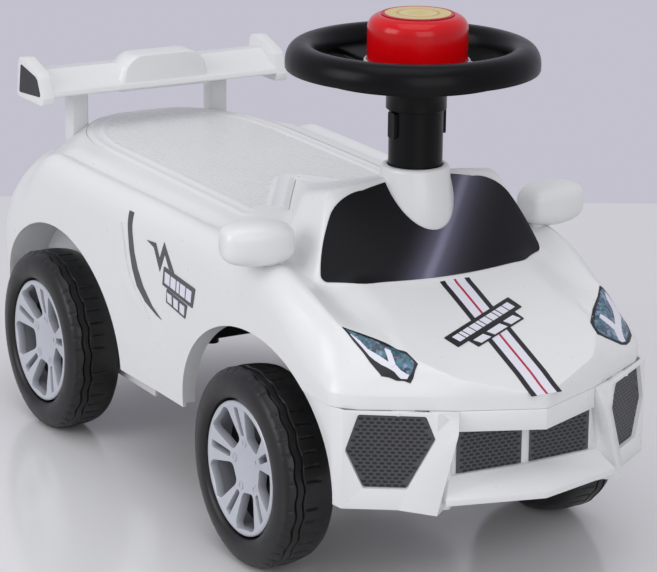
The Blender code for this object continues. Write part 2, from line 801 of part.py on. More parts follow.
hinge_place = (0, hinge_y, hinge_z)
lid = shaped("seat_lid", prism(seat_outline(0.0), "Z", seat_underside, above_deck), white, hinge_place)
combine(lid, "INTERSECT", seat_block())
add(lid, disc(hinge_radius, -knuckle_half, knuckle_half, hinge_place, "X", 12))
add(lid, block(
    (0.0006 - knuckle_half, seat_rear_y - 0.004, seat_underside + 0.0002),
    (knuckle_half - 0.0006, hinge_y, seat_underside + 0.003)))
cut(lid, disc(hinge_pin_radius + play / 2, -0.03, 0.03, hinge_place, "X", 12))
pin_half = hinge_half + 0.001
shaped("lid_hinge_pin", disc(hinge_pin_radius, -pin_half, pin_half, hinge_place, "X", 12), steel)

# Storage tub


def tub_outline(shrink, steps=12):
    half = tub_half - shrink
    front = tub_front_y + shrink
    reach = tub_rear_y - shrink - seat_round_y
    points = [(half - 0.012, front), (half - 0.0035, front + 0.0035), (half, front + 0.012)]
    points += round_end(half, reach, steps)
    return points + [(-x, y) for x, y in reversed(points[:-1])]


def tub_skin(shrink, low, high):
    """The tub's tapered volume."""
    rings = []
    for z, draft in ((low, 0.003), (high, 0.0)):
        rings.append([(x, y, z) for x, y in tub_outline(shrink + draft)])
    return skin(rings)


tub = shaped("storage_tub", tub_skin(0.0, tub_bottom, ledge_top + gap + 0.0005), black)
add(tub, prism(seat_outline(-play), "Z", ledge_top + gap, ledge_top + gap + flange_thickness))
cut(tub, tub_skin(tub_wall, tub_bottom + tub_wall, deck_height + 0.009))
for side in (-1, 1):
    foot_place = (side * 0.056, tub_front_y + 0.012, 0)
    add(tub, disc(0.006, tub_bottom - 0.004, tub_bottom + 0.001, foot_place, "Z", 12))
hinge_side = hinge_half + 0.004
cut(tub, block((-hinge_side, seat_rear_y - 0.008, below_deck), (hinge_side, tail_y, above_deck)))

# Rear wing



def raised(points):
    """An outline with its heights counted from the wing's lower edge."""
    return [(y, wing_height + z) for y, z in points]


bar_section = raised([(0.402, 0.0), (0.404, 0.005), (0.430, 0.019), (0.456, 0.016)])
bar_section += raised([(0.456, 0.0109), (0.430, 0.005)])
wing = shaped("rear_wing", prism(bar_section, "X", -wing_half - 0.001, wing_half + 0.001), white)
pad_low, pad_high = 0.041, 0.033
pad = raised([(0.4135, 0.0), (0.4150, 0.0245), (0.4175, 0.0285), (0.4290, 0.0285)])
pad += raised([(0.4320, 0.0245), (0.4320, 0.0)])
add(wing, prism(pad, "X", -pad_high, pad_high))
pad_edge = pad_high + 0.002
pad_foot = raised([(-pad_low, 0.0), (-pad_edge, 0.023), (pad_edge, 0.023), (pad_low, 0.0)])
add(wing, prism(pad_foot, "Y", 0.4142, 0.4316))
plate = raised([(0.455, -0.004), (0.4495, 0.023), (0.447, 0.0273), (0.441, 0.0280), (0.417, 0.017)])
plate += raised([(0.405, 0.0), (0.405, -0.004)])
for side in (-1, 1):
    near, far = sorted((side * wing_half, side * (wing_half + plate_thickness)))
    add(wing, prism(plate, "X", near, far))


def bar_underside(y):
    return wing_height + 0.005 + 0.0059 * (y - 0.430) / 0.026


for side, word in ((-1, "right"), (1, "left")):
    rear_y = post_front_y + post_depth
    outline = [(post_front_y, post_bottom), (post_front_y, bar_underside(post_front_y) - gap)]
    outline += [(rear_y, bar_underside(rear_y) - gap), (rear_y, post_bottom)]
    near, far = sorted((side * post_inner_x, side * (post_inner_x + post_width)))
    shaped(f"wing_post_{word}", prism(outline, "X", near, far), white)

# Mirrors

for side, word in ((-1, "right"), (1, "left")):
    rings = []
    for i in range(1, 7):
        a = math.pi * i / 7 - math.pi / 2
        row = []
        for j in range(12):
            b = 2 * math.pi * j / 12
            c, d = math.cos(b), math.sin(b)
            radius = math.cos(a) ** 0.75
            row.append((
                side * mirror_x + mirror_size[0] * math.sin(a),
                mirror_y + mirror_size[1] * radius * math.copysign(abs(c) ** 0.85, c),
                mirror_z + mirror_size[2] * radius * math.copysign(abs(d) ** 0.85, d)))
        rings.append(row)
    housing = skin(rings)
    bmesh.ops.rotate(
        housing, verts=housing.verts, cent=(side * mirror_x, mirror_y, mirror_z),
        matrix=Matrix.Rotation(side * mirror_sweep, 3, "Z"))
    mirror = shaped(f"mirror_{word}", housing, white)
    foot = []
    foot_low, foot_high = deck_height - 0.011, deck_height + 0.007
    for z, step, rx, ry in ((foot_low, 0.0, 0.0075, 0.006), (foot_high, 0.004, 0.009, 0.007)):
        x, y = side * (stem_x + step), stem_y + step * 0.75
        turns = [math.pi * k / 6 for k in range(12)]
        foot.append([(x + rx * math.cos(b), y + ry * math.sin(b), z) for b in turns])
    add(mirror, skin(foot))
    cut(mirror, moved_body(gap * 3))
    stem_end = deck_height - 0.027
    add(mirror, disc(stem_radius, stem_end, deck_height + 0.001, (side * stem_x, stem_y, 0), "Z", 12))

# Bumper screws

for side, word in ((-1, "right"), (1, "left")):
    place = (side * screw_x, screw_y, 0)
    cut(bumper, disc(screw_radius + gap, screw_low, screw_high, place, "Z", 10))
    head_top = bumper_top - tab_thickness - gap
    screw = [(0, head_top - 0.0025), (0.0042, head_top - 0.0025), (0.0042, head_top)]
    screw += [(screw_radius, head_top)]
    screw += [(screw_radius, bumper_top + screw_reach), (0, bumper_top + screw_reach)]
    shaped(f"bumper_screw_{word}", turned(screw, place, "Z", 10), steel)

# Steering

bush_bore = rod_radius + play / 2
bush = tube(bush_radius, bush_bore, tube_bottom + gap, column_floor - 2 * gap, collar_centre, "Z", 20)
shaped("steering_bush", bush, silver)

column = [(column_radius - column_wall, column_floor + 0.006), (rod_radius + gap, column_floor + 0.006)]
column += [(rod_radius + gap, column_floor), (column_radius, column_floor), (column_radius, column_top)]
column += [(column_radius - column_wall, column_top)]
column_tube = steered("steering_column", turned(column, collar_centre), black)
pin_z = column_top - 0.030
pin_radius = 0.0015
add(column_tube, tube(column_radius - 0.001, rod_radius + gap, pin_z - 0.005, pin_z + 0.005, collar_centre))
for side in (-1, 1):
    near, far = sorted((side * (column_radius - 0.003), side * (sleeve_radius - 0.0001)))
    pad_top = sleeve_bottom - 0.001
    add(column_tube, block((near, steer_y - 0.006, pin_z - 0.011), (far, steer_y + 0.003, pad_top)))
cut(column_tube, disc(pin_radius + gap, -0.03, 0.03, (0, steer_y, pin_z), "Y", 10))

rod_top = pin_z + 0.023
rod_bottom = wheel_radius + 0.021
rod = steered("steering_rod", disc(rod_radius, rod_bottom, rod_top, collar_centre, "Z", 20), steel)
cut(rod, disc(pin_radius + gap, -0.03, 0.03, (0, steer_y, pin_z), "Y", 10))
carriage_pin_z = wheel_radius + 0.037
cut(rod, disc(pin_radius + gap, -0.03, 0.03, (0, steer_y, carriage_pin_z), "X", 10))
pin_half = column_radius - 0.0005
steered("column_pin", disc(pin_radius, -pin_half, pin_half, (0, steer_y, pin_z), "Y", 10), steel)

hub_low = rim_bottom - 0.0045
hub_high = rim_bottom + 0.0005
collar_in = column_radius + gap
hub = [(0, hub_high), (hub_plate_radius, hub_high), (hub_plate_radius, hub_low), (0.032, hub_low)]
hub += [(sleeve_radius + 0.0022, hub_low - 0.0085), (sleeve_radius, hub_low - 0.011)]
hub += [(sleeve_radius, sleeve_bottom), (collar_in, sleeve_bottom)]
hub += [(collar_in, column_top + gap), (0, column_top + gap)]
wheel = steered("steering_wheel", turned(hub, collar_centre, "Z", 28), black)
rim_centre = (0, steer_y + rim_shift, rim_bottom)
outer = [(1.0, 0.0), (1.005, 0.20), (0.985, 0.55), (0.935, 0.88), (0.865, 1.0), (0.795, 0.86)]
inner = [(0.755, 0.52), (0.750, 0.04), (0.782, 0.04), (0.786, 0.45), (0.865, 0.84), (0.955, 0.45)]
inner += [(0.973, 0.0)]
rim_profile = [(rim_radius * r / 1.005, rim_height * h) for r, h in outer + inner]
add(wheel, turned(rim_profile, rim_centre, "Z", 34))
for angle in (90, 210, 330):
    a = math.radians(angle)
    along = Vector((math.cos(a), math.sin(a), 0))
    aside = Vector((-math.sin(a), math.cos(a), 0)) * spoke_width / 2
    rings = []
    reach = 0.782 * rim_radius + rim_shift * math.sin(a)
    root_end = (hub_plate_radius - 0.0015, hub_low + 0.0003, hub_high - 0.0003)
    for distance, low, high in (root_end, (reach, rim_bottom + 0.0015, rim_bottom + 0.0065)):
        middle = Vector((0, steer_y, 0)) + along * distance
        one, two = (middle + aside).xy, (middle - aside).xy
        rings.append([(*one, low), (*two, low), (*two, high), (*one, high)])
    add(wheel, skin(rings))
    boss = Vector((0, steer_y, 0)) + along * 0.060
    add(wheel, disc(0.0038, rim_bottom - 0.0045, rim_bottom + 0.004, (*boss.xy, 0), "Z", 10))

# Horn

ring_top = horn_bottom - gap
sound_top = hub_high + 0.0085
skirt_bottom = hub_high + gap + horn_travel + 0.0004
horn_top = horn_bottom + horn_height
ring_bottom = hub_high + gap
horn_ring = tube(horn_radius + 0.0022, horn_radius + play, ring_bottom, ring_top, collar_centre, "Z", 28)
steered("horn_ring", horn_ring, clear)
sound_body = tube(0.016, 0.0040, ring_bottom, sound_top, collar_centre, "Z", 20)
sound_box = steered("sound_box", sound_body, black)
add(sound_box, block((-0.0137, 0.0053, hub_high + 0.0006), (0.0137, 0.026, sound_top - 0.001)))
button = []
for i in range(5):
    a = math.pi / 2 * i / 4
    button.append((horn_radius - 0.010 * (1 - math.cos(a)), horn_top - 0.010 * (1 - math.sin(a))))
shell = 0.002
button = [(horn_radius, skirt_bottom)] + button + [(0, horn_top)]
button += [(0, horn_top - shell), (horn_radius - 0.0108, horn_top - shell)]
button += [(horn_radius - shell - 0.002, horn_top - 0.0075), (horn_radius - shell, horn_top - 0.012)]
button += [(horn_radius - shell, skirt_bottom)]
press = steered("horn_button", turned(button, collar_centre, "Z", 28), red)
add(press, tube(0.0065, 0.0045, horn_bottom + 0.0135, horn_top - shell + 0.0005, collar_centre, "Z", 12))
label = disc(label_radius, horn_top + gap, horn_top + gap + film, collar_centre, "Z", 28)
steered("horn_label", label, yellow)


def coil(radius, wire, low, high, turns, steps=8, sides=5):
    """Closed bmesh of a compression spring with its wire swept along a helix."""
    rings = []
    count = turns * steps
    for i in range(count + 1):
        a = 2 * math.pi * i / steps
        z = low + wire + (high - low - 2 * wire) * i / count
        ring = []
        for k in range(sides):
            b = 2 * math.pi * k / sides
            r = radius + wire * math.cos(b)
            ring.append((r * math.cos(a), steer_y + r * math.sin(a), z + wire * math.sin(b)))
        rings.append(ring)
    return skin(rings)


steered("horn_spring", coil(0.0095, 0.0008, sound_top + gap, horn_top - shell - gap, 6), steel)

# Front carriage

beam_half = wheel_inner_x - 0.0048
beam = block((-beam_half, -0.010, wheel_radius - 0.011), (beam_half, 0.010, wheel_radius + 0.011))
carriage = steered("front_carriage", beam, black)
add(carriage, disc(0.014, wheel_radius - 0.005, tube_bottom - gap, collar_centre, "Z", 20))
rib_low, rib_high = wheel_radius + 0.009, tube_bottom - 0.015
rib = [(-0.060, rib_low), (0.060, rib_low), (0.012, rib_high), (-0.012, rib_high)]
add(carriage, prism(rib, "Y", -0.006, 0.0))
cut(carriage, disc(axle_radius + gap, -0.2, 0.2, (0, 0, wheel_radius), "X", 16))
cut(carriage, disc(rod_radius + gap, rod_bottom - gap, tube_bottom + 0.015, collar_centre, "Z", 20))
cut(carriage, disc(pin_radius + gap, -0.03, 0.03, (0, steer_y, carriage_pin_z), "X", 10))
steered("carriage_pin", disc(pin_radius, -0.0135, 0.0135, (0, steer_y, carriage_pin_z), "X", 10), steel)

# Axles and wheels

axle_half = cap_centre - 0.0035
front_place = (0, 0, wheel_radius)
rear_place = (0, wheel_base, wheel_radius)
steered("front_axle", disc(axle_radius, -axle_half, axle_half, front_place, "X", 16), steel)
shaped("rear_axle", disc(axle_radius, -axle_half, axle_half, rear_place, "X", 16), steel)
bore = axle_radius + play / 2
tread_low, tread_high = wheel_inner_x + 0.009, wheel_outer_x - 0.011
shoulder = wheel_radius - 0.0025
rim_lip = hub_radius + 0.0037
tyre = [(bore, hub_face), (hub_radius + 0.0005, hub_face), (hub_radius + 0.0005, wheel_outer_x - 0.001)]
tyre += [(hub_radius + 0.0025, wheel_outer_x), (wheel_radius - 0.010, wheel_outer_x)]
tyre += [(shoulder, wheel_outer_x - 0.0035), (wheel_radius, tread_high), (wheel_radius, tread_low)]
tyre += [(shoulder, wheel_inner_x + 0.003), (wheel_radius - 0.0085, wheel_inner_x)]
tyre += [(wheel_radius - 0.012, wheel_inner_x), (wheel_radius - 0.0035, tread_low + 0.002)]
tyre += [(wheel_radius - 0.0035, tread_high), (wheel_radius - 0.0095, wheel_outer_x - 0.0035)]
tyre += [(rim_lip, wheel_outer_x - 0.0035), (rim_lip, hub_face - 0.0025), (0.0130, hub_face - 0.0025)]
tyre += [(0.0110, beam_half + gap + 0.0002), (bore, beam_half + gap + 0.0002)]
cap = [(0, cap_centre), (0.0130, cap_centre), (hub_radius - 0.007, cap_lip - 0.0023)]
cap += [(hub_radius - 0.004, cap_lip), (hub_radius - 0.002, cap_lip), (hub_radius - 0.0002, hub_face + gap)]
cap += [(0.0108, hub_face + gap), (0.0108, cap_centre - 0.0012), (0, cap_centre - 0.0012)]
clip_bore = axle_radius + play
clip_end = axle_half + 0.0018
clip = [(clip_bore, hub_face + gap), (0.0098, hub_face + gap), (0.0098, clip_end), (0, clip_end)]
clip += [(0, axle_half + gap), (clip_bore, axle_half + gap)]


def sided(profile, side):
    return [(r, side * h) for r, h in profile]


def windows(side, place, turned_by):
    """Cutters of the hub cap: a wide window between two arms, a narrow slot along each arm."""
    low, high = sorted((side * (hub_face - 0.004), side * (cap_lip + 0.004)))
    far_end = hub_radius - 0.007
    made = []
    for k in range(5):
        middle = 2 * math.pi * k / 5 + turned_by
        for turn, inner_half, outer_half, near, far in (
                (0.0, 0.0019, 0.0023, 0.0200, far_end), (math.pi / 5, 0.0035, 0.0125, 0.0205, far_end)):
            a = middle + turn
            c, s = math.cos(a), math.sin(a)
            corners = [(near, -inner_half), (far, -outer_half), (far, outer_half), (near, inner_half)]
            made.append(prism(
                [(place[1] + r * c - t * s, place[2] + r * s + t * c) for r, t in corners], "X", low, high))
    return made


for side, word in ((-1, "right"), (1, "left")):
    for end, place, maker, phase in (
            ("front", front_place, steering_axis, front_cap_turn), ("rear", rear_place, None, rear_cap_turn)):
        shaped(f"tyre_{end}_{word}", turned(sided(tyre, side), place, "X", 24), tyre_black, place, maker)
        disc_shape = turned(sided(cap, side), place, "X", 24)
        wheel_cap = shaped(f"hub_cap_{end}_{word}", disc_shape, silver, place, maker)
        for cutter in windows(side, place, phase):
            cut(wheel_cap, cutter)
        shaped(f"axle_cap_{end}_{word}", turned(sided(clip, side), place, "X", 12), steel, place, maker)
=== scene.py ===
# %% [markdown]
# # A kids push car
# This lesson dresses a toddler's foot-to-floor car: a hollow white plastic body, four hard black wheels with
# silver caps, a steered front axle, a round steering wheel with a red horn, and a rear wing. The exact CAD
# model comes in first as a fixed frame. Every piece made here is drawn in the car's own coordinates, where Y
# counts from the front axle, and then moved to the frame's origin under the car's middle.

# %% Load the frame
import math

import bmesh
import bpy
import numpy as np
from mathutils import Matrix, Vector


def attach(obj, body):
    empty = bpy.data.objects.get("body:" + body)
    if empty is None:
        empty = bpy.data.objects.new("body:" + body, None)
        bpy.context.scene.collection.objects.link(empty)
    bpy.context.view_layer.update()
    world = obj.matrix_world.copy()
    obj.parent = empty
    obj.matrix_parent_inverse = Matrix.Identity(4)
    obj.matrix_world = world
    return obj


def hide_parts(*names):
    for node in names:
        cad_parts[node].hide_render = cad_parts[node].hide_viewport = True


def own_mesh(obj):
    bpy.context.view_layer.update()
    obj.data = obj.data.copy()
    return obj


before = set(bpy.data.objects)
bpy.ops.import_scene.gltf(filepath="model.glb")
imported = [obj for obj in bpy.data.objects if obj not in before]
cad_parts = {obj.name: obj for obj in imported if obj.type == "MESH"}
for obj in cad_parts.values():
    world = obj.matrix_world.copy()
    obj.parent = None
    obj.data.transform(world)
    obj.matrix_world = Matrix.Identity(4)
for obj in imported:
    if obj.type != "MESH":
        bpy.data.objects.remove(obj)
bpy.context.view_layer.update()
car_middle = 0.150  # the frame's origin, counted from the front axle

# %% [markdown]
# ## Finishes
# Every finish is a small node tree on the Principled shader. Colours are written as sRGB hex values, as
# a paint chart gives them, and one function turns them into the linear values that a shader works in.
# Moulded plastic is never perfectly even: its gloss drifts a little, and its skin carries a fine grain.

# %% Colour and node helpers
def linear(code):
    """An sRGB hex colour as linear RGBA."""
    parts = [int(code[i:i + 2], 16) / 255 for i in (1, 3, 5)]
    return tuple(c / 12.92 if c <= 0.04045 else ((c + 0.055) / 1.055) ** 2.4 for c in parts) + (1.0,)


def add_node(tree, kind, values=(), links=(), **settings):
    """Adds a node, with its settings, its sockets' values and the sockets that feed it."""
    made = tree.nodes.new(kind)
    for name, value in settings.items():
        setattr(made, name, value)
    for socket, value in dict(values).items():
        made.inputs[socket].default_value = value
    for socket, source in dict(links).items():
        tree.links.new(source, made.inputs[socket])
    return made


plastic_ior = 1.49


def new_finish(name, roughness, metallic=0.0):
    """An empty material with one Principled shader, and the Object coordinates that its patterns read."""
    made = bpy.data.materials.new(name)
    made.use_nodes = True
    tree = made.node_tree
    shader = tree.nodes["Principled BSDF"]
    shader.inputs["Roughness"].default_value = roughness
    shader.inputs["Metallic"].default_value = metallic
    if not metallic:
        shader.inputs["IOR"].default_value = plastic_ior
    place = add_node(tree, "ShaderNodeTexCoord").outputs["Object"]
    return made, tree, shader, place


def per_metre(size_mm):
    """Noise scale for features of about this size."""
    return 1000.0 / size_mm


print("white in linear:", [round(c, 3) for c in linear("#E8EAED")])


# %% [markdown]
# ### Moulded plastic
# Polypropylene toys come out of a polished or lightly spark-eroded steel mould. The mould's finish gives the
# grain, the flow of the melt gives slow changes of gloss, and handling leaves faint scuffs. One function
# makes all of them from real sizes in millimetres. Steel and printed film use it too, with other numbers.

# %% Moulded plastic
flow_mm, scuff_mm = 70, 9  # how far the melt's colour drifts, and how long a scuff is


def moulded(name, colour, drift, roughness, spread, grain_mm, grain_height,
            metallic=0.0, coat=0.0, shine=0.5):
    """Plastic with a slow drift of colour and gloss and a fine grain."""
    made, tree, shader, place = new_finish(name, roughness, metallic)
    shader.inputs["Specular IOR Level"].default_value = shine
    slow = add_node(tree, "ShaderNodeTexNoise", {"Scale": per_metre(flow_mm), "Detail": 3.0},
                    {"Vector": place})
    tint = add_node(tree, "ShaderNodeMix", {6: linear(colour), 7: linear(drift)}, {0: slow.outputs["Fac"]},
                    data_type="RGBA")
    tree.links.new(tint.outputs[2], shader.inputs["Base Color"])
    scuff = add_node(tree, "ShaderNodeTexNoise",
                     {"Scale": per_metre(scuff_mm), "Detail": 5.0, "Roughness": 0.65}, {"Vector": place})
    gloss = add_node(
        tree, "ShaderNodeMapRange",
        {"From Min": 0.3, "From Max": 0.7, "To Min": roughness - spread, "To Max": roughness + spread},
        {"Value": scuff.outputs["Fac"]})
    tree.links.new(gloss.outputs["Result"], shader.inputs["Roughness"])
    shader.inputs["Coat Weight"].default_value = coat
    if grain_height:
        grain = add_node(tree, "ShaderNodeTexNoise", {"Scale": per_metre(grain_mm), "Detail": 2.0},
                         {"Vector": place})
        bump = add_node(tree, "ShaderNodeBump", {"Strength": 0.5, "Distance": grain_height},
                        {"Height": grain.outputs["Fac"]})
        tree.links.new(bump.outputs["Normal"], shader.inputs["Normal"])
    return made


# %% The car's plain finishes
# Polypropylene from a polished mould: a clean white whose soft highlights are a little hazy.
white_shell = moulded("white_polypropylene", "#E0E1E2", "#DBDCDE", 0.30, 0.03, 2.5, 0.0, coat=0.15)
# Polypropylene from a spark-eroded mould: a deep black with a broad, weak sheen.
black_grained = moulded("black_polypropylene", "#050506", "#070708", 0.31, 0.04, 0.9, 0.00001, shine=0.16)
# Blown polyethylene: a greyer black, and duller, with the waxy look of a hard hollow tyre.
tyre_plastic = moulded("black_tyre_polyethylene", "#121213", "#171717", 0.38, 0.05, 1.4, 0.00002, shine=0.42)
# Silver lacquer sprayed on plastic: only partly metallic, so it stays pale without a bright room round it.
cap_silver = moulded("silver_sprayed_plastic", "#C6CAD1", "#BCC0C9", 0.38, 0.05, 0.7, 0.00001, metallic=0.3)
# Polystyrene is hard and glossy, so the horn shows clear highlights.
horn_red = moulded("red_polystyrene", "#CE020A", "#C20209", 0.20, 0.03, 11.0, 0.0, coat=0.1, shine=0.32)
# Polypropylene without pigment looks milky. Its surface is slightly wavy.
milky = moulded("milky_polypropylene", "#C9CBD2", "#C2C4CC", 0.30, 0.05, 5.0, 0.00008)
# Bright zinc on steel rods and caps: a real metal, with an uneven gloss.
zinc = moulded("zinc_plated_steel", "#B4B6BA", "#A6A8AC", 0.34, 0.08, 0.8, 0.00002, metallic=1.0)
# Printed vinyl film: even satin inks, with long faint waves where it bridges the plastic.
film_black = moulded("black_printed_film", "#151517", "#19191C", 0.38, 0.03, 22.0, 0.00004)
film_white = moulded("white_printed_film", "#DFDFEA", "#D9DAE5", 0.40, 0.04, 22.0, 0.00004)
film_red = moulded("red_printed_film", "#B5203A", "#AC1C36", 0.40, 0.04, 22.0, 0.00004)
film_grey = moulded("dark_grey_printed_film", "#46474C", "#4B4C51", 0.42, 0.04, 22.0, 0.00004)

print("plain finishes:", len(bpy.data.materials))

# %% [markdown]
# ## Mesh helpers
# Most pieces are skins through rows of points, turned profiles or outlines swept straight. A few small
# functions make them as bmeshes, and one function turns a bmesh into a finished piece: it moves the mesh
# to the frame, shades it, and keeps the object itself at the origin.

# %% Shapes from points
def skin(rings):
    """A closed mesh through rings of equally many points."""
    bm = bmesh.new()
    rows = [[bm.verts.new(p) for p in ring] for ring in rings]
    count = len(rows[0])
    for a, b in zip(rows, rows[1:]):
        for i in range(count):
            j = (i + 1) % count
            bm.faces.new((a[i], a[j], b[j], b[i]))
    bm.faces.new(rows[0])
    bm.faces.new(rows[-1])
    bmesh.ops.recalc_face_normals(bm, faces=bm.faces)
    return bm


def spot(a, b, h, centre, axis):
    """The place at (a, b) across an axis and h along it, counted from a centre."""
    turned_to = {"X": (h, a, b), "Y": (a, h, b), "Z": (a, b, h)}[axis]
    return tuple(c + t for c, t in zip(centre, turned_to))


def prism(outline, axis, low, high):
    """An outline swept along an axis: its points are (y, z) for X, (x, z) for Y and (x, y) for Z."""
    return skin([[spot(a, b, h, (0, 0, 0), axis) for a, b in outline] for h in (low, high)])


def block(low, high):
    """A box between two opposite corners."""
    corners = [(low[0], low[1]), (high[0], low[1]), (high[0], high[1]), (low[0], high[1])]
    return prism(corners, "Z", low[2], high[2])


def turned(profile, centre, axis="Z", steps=72, change=None):
    """A closed profile of (radius, height) points turned about an axis. change moves single points."""
    bm = bmesh.new()
    columns, poles = [], {}
    for s in range(steps):
        angle = 2 * math.pi * s / steps
        column = []
        for k, (r, h) in enumerate(profile):
            if change:
                r, h = change(r, h, angle, k)
            if r < 1e-7:
                if k not in poles:
                    poles[k] = bm.verts.new(spot(0, 0, h, centre, axis))
                column.append(poles[k])
            else:
                column.append(bm.verts.new(spot(r * math.cos(angle), r * math.sin(angle), h, centre, axis)))
        columns.append(column)
    for s in range(steps):
        one, two = columns[s], columns[(s + 1) % steps]
        for k in range(len(profile)):
            m = (k + 1) % len(profile)
            corners = list(dict.fromkeys((one[k], one[m], two[m], two[k])))
            if len(corners) > 2:
                bm.faces.new(corners)
    bmesh.ops.recalc_face_normals(bm, faces=bm.faces)
    return bm


def disc(radius, low, high, centre, axis="Z", steps=48):
    return turned([(0, low), (radius, low), (radius, high), (0, high)], centre, axis, steps)


def tube(outer, inner, low, high, centre, axis="Z", steps=48):
    return turned([(inner, low), (outer, low), (outer, high), (inner, high)], centre, axis, steps)


def rounded(points, radii, steps=5):
    """A closed outline with its corners rounded by arcs of the given radii."""
    made = []
    count = len(points)
    radii = radii if isinstance(radii, (list, tuple)) else [radii] * count
    for i, radius in enumerate(radii):
        here = Vector(points[i])
        back, ahead = Vector(points[i - 1]) - here, Vector(points[(i + 1) % count]) - here
        turn = back.angle(ahead)
        reach = min(radius / math.tan(turn / 2), 0.49 * back.length, 0.49 * ahead.length) if radius else 0.0
        if reach < 1e-7:
            made.append(tuple(here))
            continue
        one, two = here + back.normalized() * reach, here + ahead.normalized() * reach
        middle = here + (back.normalized() + ahead.normalized()).normalized() * (reach / math.cos(turn / 2))
        true_radius = (one - middle).length
        start = (one - middle).normalized()
        sweep = start.angle_signed((two - middle).normalized())
        for k in range(steps + 1):
            a = -sweep * k / steps
            c, s = math.cos(a), math.sin(a)
            made.append((
                middle.x + true_radius * (start.x * c - start.y * s),
                middle.y + true_radius * (start.x * s + start.y * c)))
    return made


# %% From a mesh to a piece
def make_object(name, bm, finishes):
    mesh = bpy.data.meshes.new(name)
    bm.to_mesh(mesh)
    bm.free()
    for finish in finishes:
        mesh.materials.append(finish)
    made = bpy.data.objects.new(name, mesh)
    bpy.context.scene.collection.objects.link(made)
    return made


def bake(obj):
    """Applies the modifiers of a piece."""
    graph = bpy.context.evaluated_depsgraph_get()
    graph.update()
    mesh = bpy.data.meshes.new_from_object(obj.evaluated_get(graph))
    obj.modifiers.clear()
    obj.data = mesh


def combine(obj, operation, shapes):
    """Cuts or joins closed shapes one after the other. Faces of a second finish keep their index."""
    for bm in shapes:
        other = make_object("tool", bm, list(obj.data.materials))
        modifier = obj.modifiers.new("shape", "BOOLEAN")
        modifier.operation, modifier.solver, modifier.object = operation, "EXACT", other
        bake(obj)
        bpy.data.objects.remove(other, do_unlink=True)


def soften(obj, width, segments=2, angle=50):
    """Rounds the sharp edges."""
    modifier = obj.modifiers.new("edge", "BEVEL")
    modifier.width, modifier.segments = width, segments
    modifier.limit_method, modifier.angle_limit = "ANGLE", math.radians(angle)
    modifier.use_clamp_overlap = True
    bake(obj)


def finish_piece(obj, body, nodes=(), smooth=35):
    """Moves the mesh from the car's coordinates to the frame, shades it and hands it to the frame."""
    obj.data.transform(Matrix.Translation((0, -car_middle, 0)))
    obj.data.shade_smooth()
    obj.data.set_sharp_from_angle(angle=math.radians(smooth))
    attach(obj, body)
    if nodes:
        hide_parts(*nodes)
    print(f"{obj.name}: {len(obj.data.polygons)} faces on {body}")
    return obj


def add_piece(name, bm, finish, body, nodes=(), smooth=35):
    """A finished piece from a mesh in the car's coordinates."""
    return finish_piece(make_object(name, bm, [finish]), body, nodes, smooth)


def joined(shapes):
    """Several bmeshes as one."""
    whole = bmesh.new()
    for bm in shapes:
        mesh = bpy.data.meshes.new("part")
        bm.to_mesh(mesh)
        bm.free()
        whole.from_mesh(mesh)
        bpy.data.meshes.remove(mesh)
    return whole


def add_shapes(obj, shapes):
    """Puts closed shapes into a piece's mesh."""
    bm = joined(shapes)
    bm.from_mesh(obj.data)
    bm.to_mesh(obj.data)
    bm.free()


def shape_of(obj):
    """The mesh of a helper object, which is removed."""
    bm = bmesh.new()
    bm.from_mesh(obj.data)
    bpy.data.objects.remove(obj, do_unlink=True)
    return bm


sides = ((-1, "right"), (1, "left"))


def span(side, inner, outer):
    """Two distances from the car's middle as places on one side, the lower one first."""
    return sorted((side * inner, side * outer))


print("helpers ready")

# %% [markdown]
# ## The body's surface
# The real body is one hollow moulding with a sports car's wedge: a long hood that rises to a raised cowl,
# soft shoulders, and a round tail. Such a form is easiest to keep exact as formulas: the width along
# the car, the height of the deck, and the hump of the cowl that is blended into it. The same formulas are
# sampled here much more finely than in the CAD model, so highlights run smoothly over it.

# %% Sizes of the body
wall = 0.0028
nose_y, tail_y = -0.184, 0.487
body_half_width = 0.131
deck_height, nose_height, hood_slope = 0.231, 0.164, 0.405
parting_height = 0.1535
ground_clearance = 0.082
cheek_y, cheek_half = -0.125, 0.117
beak_y, beak_half = -0.160, 0.057
corner_y = -0.104
tail_round_y, tail_drop_y = 0.380, 0.445
roof_front, roof_crown, roof_y = 0.2785, 0.0045, -0.003
cowl_tail_y, cowl_taper = 0.1733, 0.634
cowl_half, cowl_base_half, cowl_side_slope = 0.0915, 0.0945, 2.3
screen_base_y, screen_side_y, screen_slope = -0.0575, -0.0315, 1.25
seat_level = 0.234
seat_half, seat_front_y, seat_rear_y, seat_round_y = 0.087, 0.102, 0.456, 0.330
seat_rim = 0.0925
steer_y = -0.003


def ramp(a, b, x):
    """0 before a, 1 after b, smooth between."""
    t = min(max((x - a) / (b - a), 0.0), 1.0)
    return t * t * (3 - 2 * t)


def lower(a, b, k):
    """The smaller of two heights, rounded over k where they cross."""
    h = min(max(0.5 + 0.5 * (b - a) / k, 0.0), 1.0)
    return b * (1 - h) + a * h - k * h * (1 - h)


def higher(a, b, k):
    return -lower(-a, -b, k)


# %% Width, deck and cowl
def half_width(y):
    """Half the car's width at y, at its widest height."""
    if y < beak_y:
        return beak_half * max(0.0, (y - nose_y) / (beak_y - nose_y))
    if y < cheek_y:
        return beak_half + (cheek_half - beak_half) * (y - beak_y) / (cheek_y - beak_y)
    if y < corner_y:
        t = (y - cheek_y) / (corner_y - cheek_y)
        return cheek_half + (body_half_width - cheek_half) * math.sin(t * math.pi / 2)
    full = body_half_width + 0.003 * ramp(0.15, 0.30, y)
    if y < tail_round_y:
        return full
    t = min((y - tail_round_y) / (tail_y + 0.001 - tail_round_y), 1.0)
    return full * (1 - t**2.2) ** (1 / 2.2)


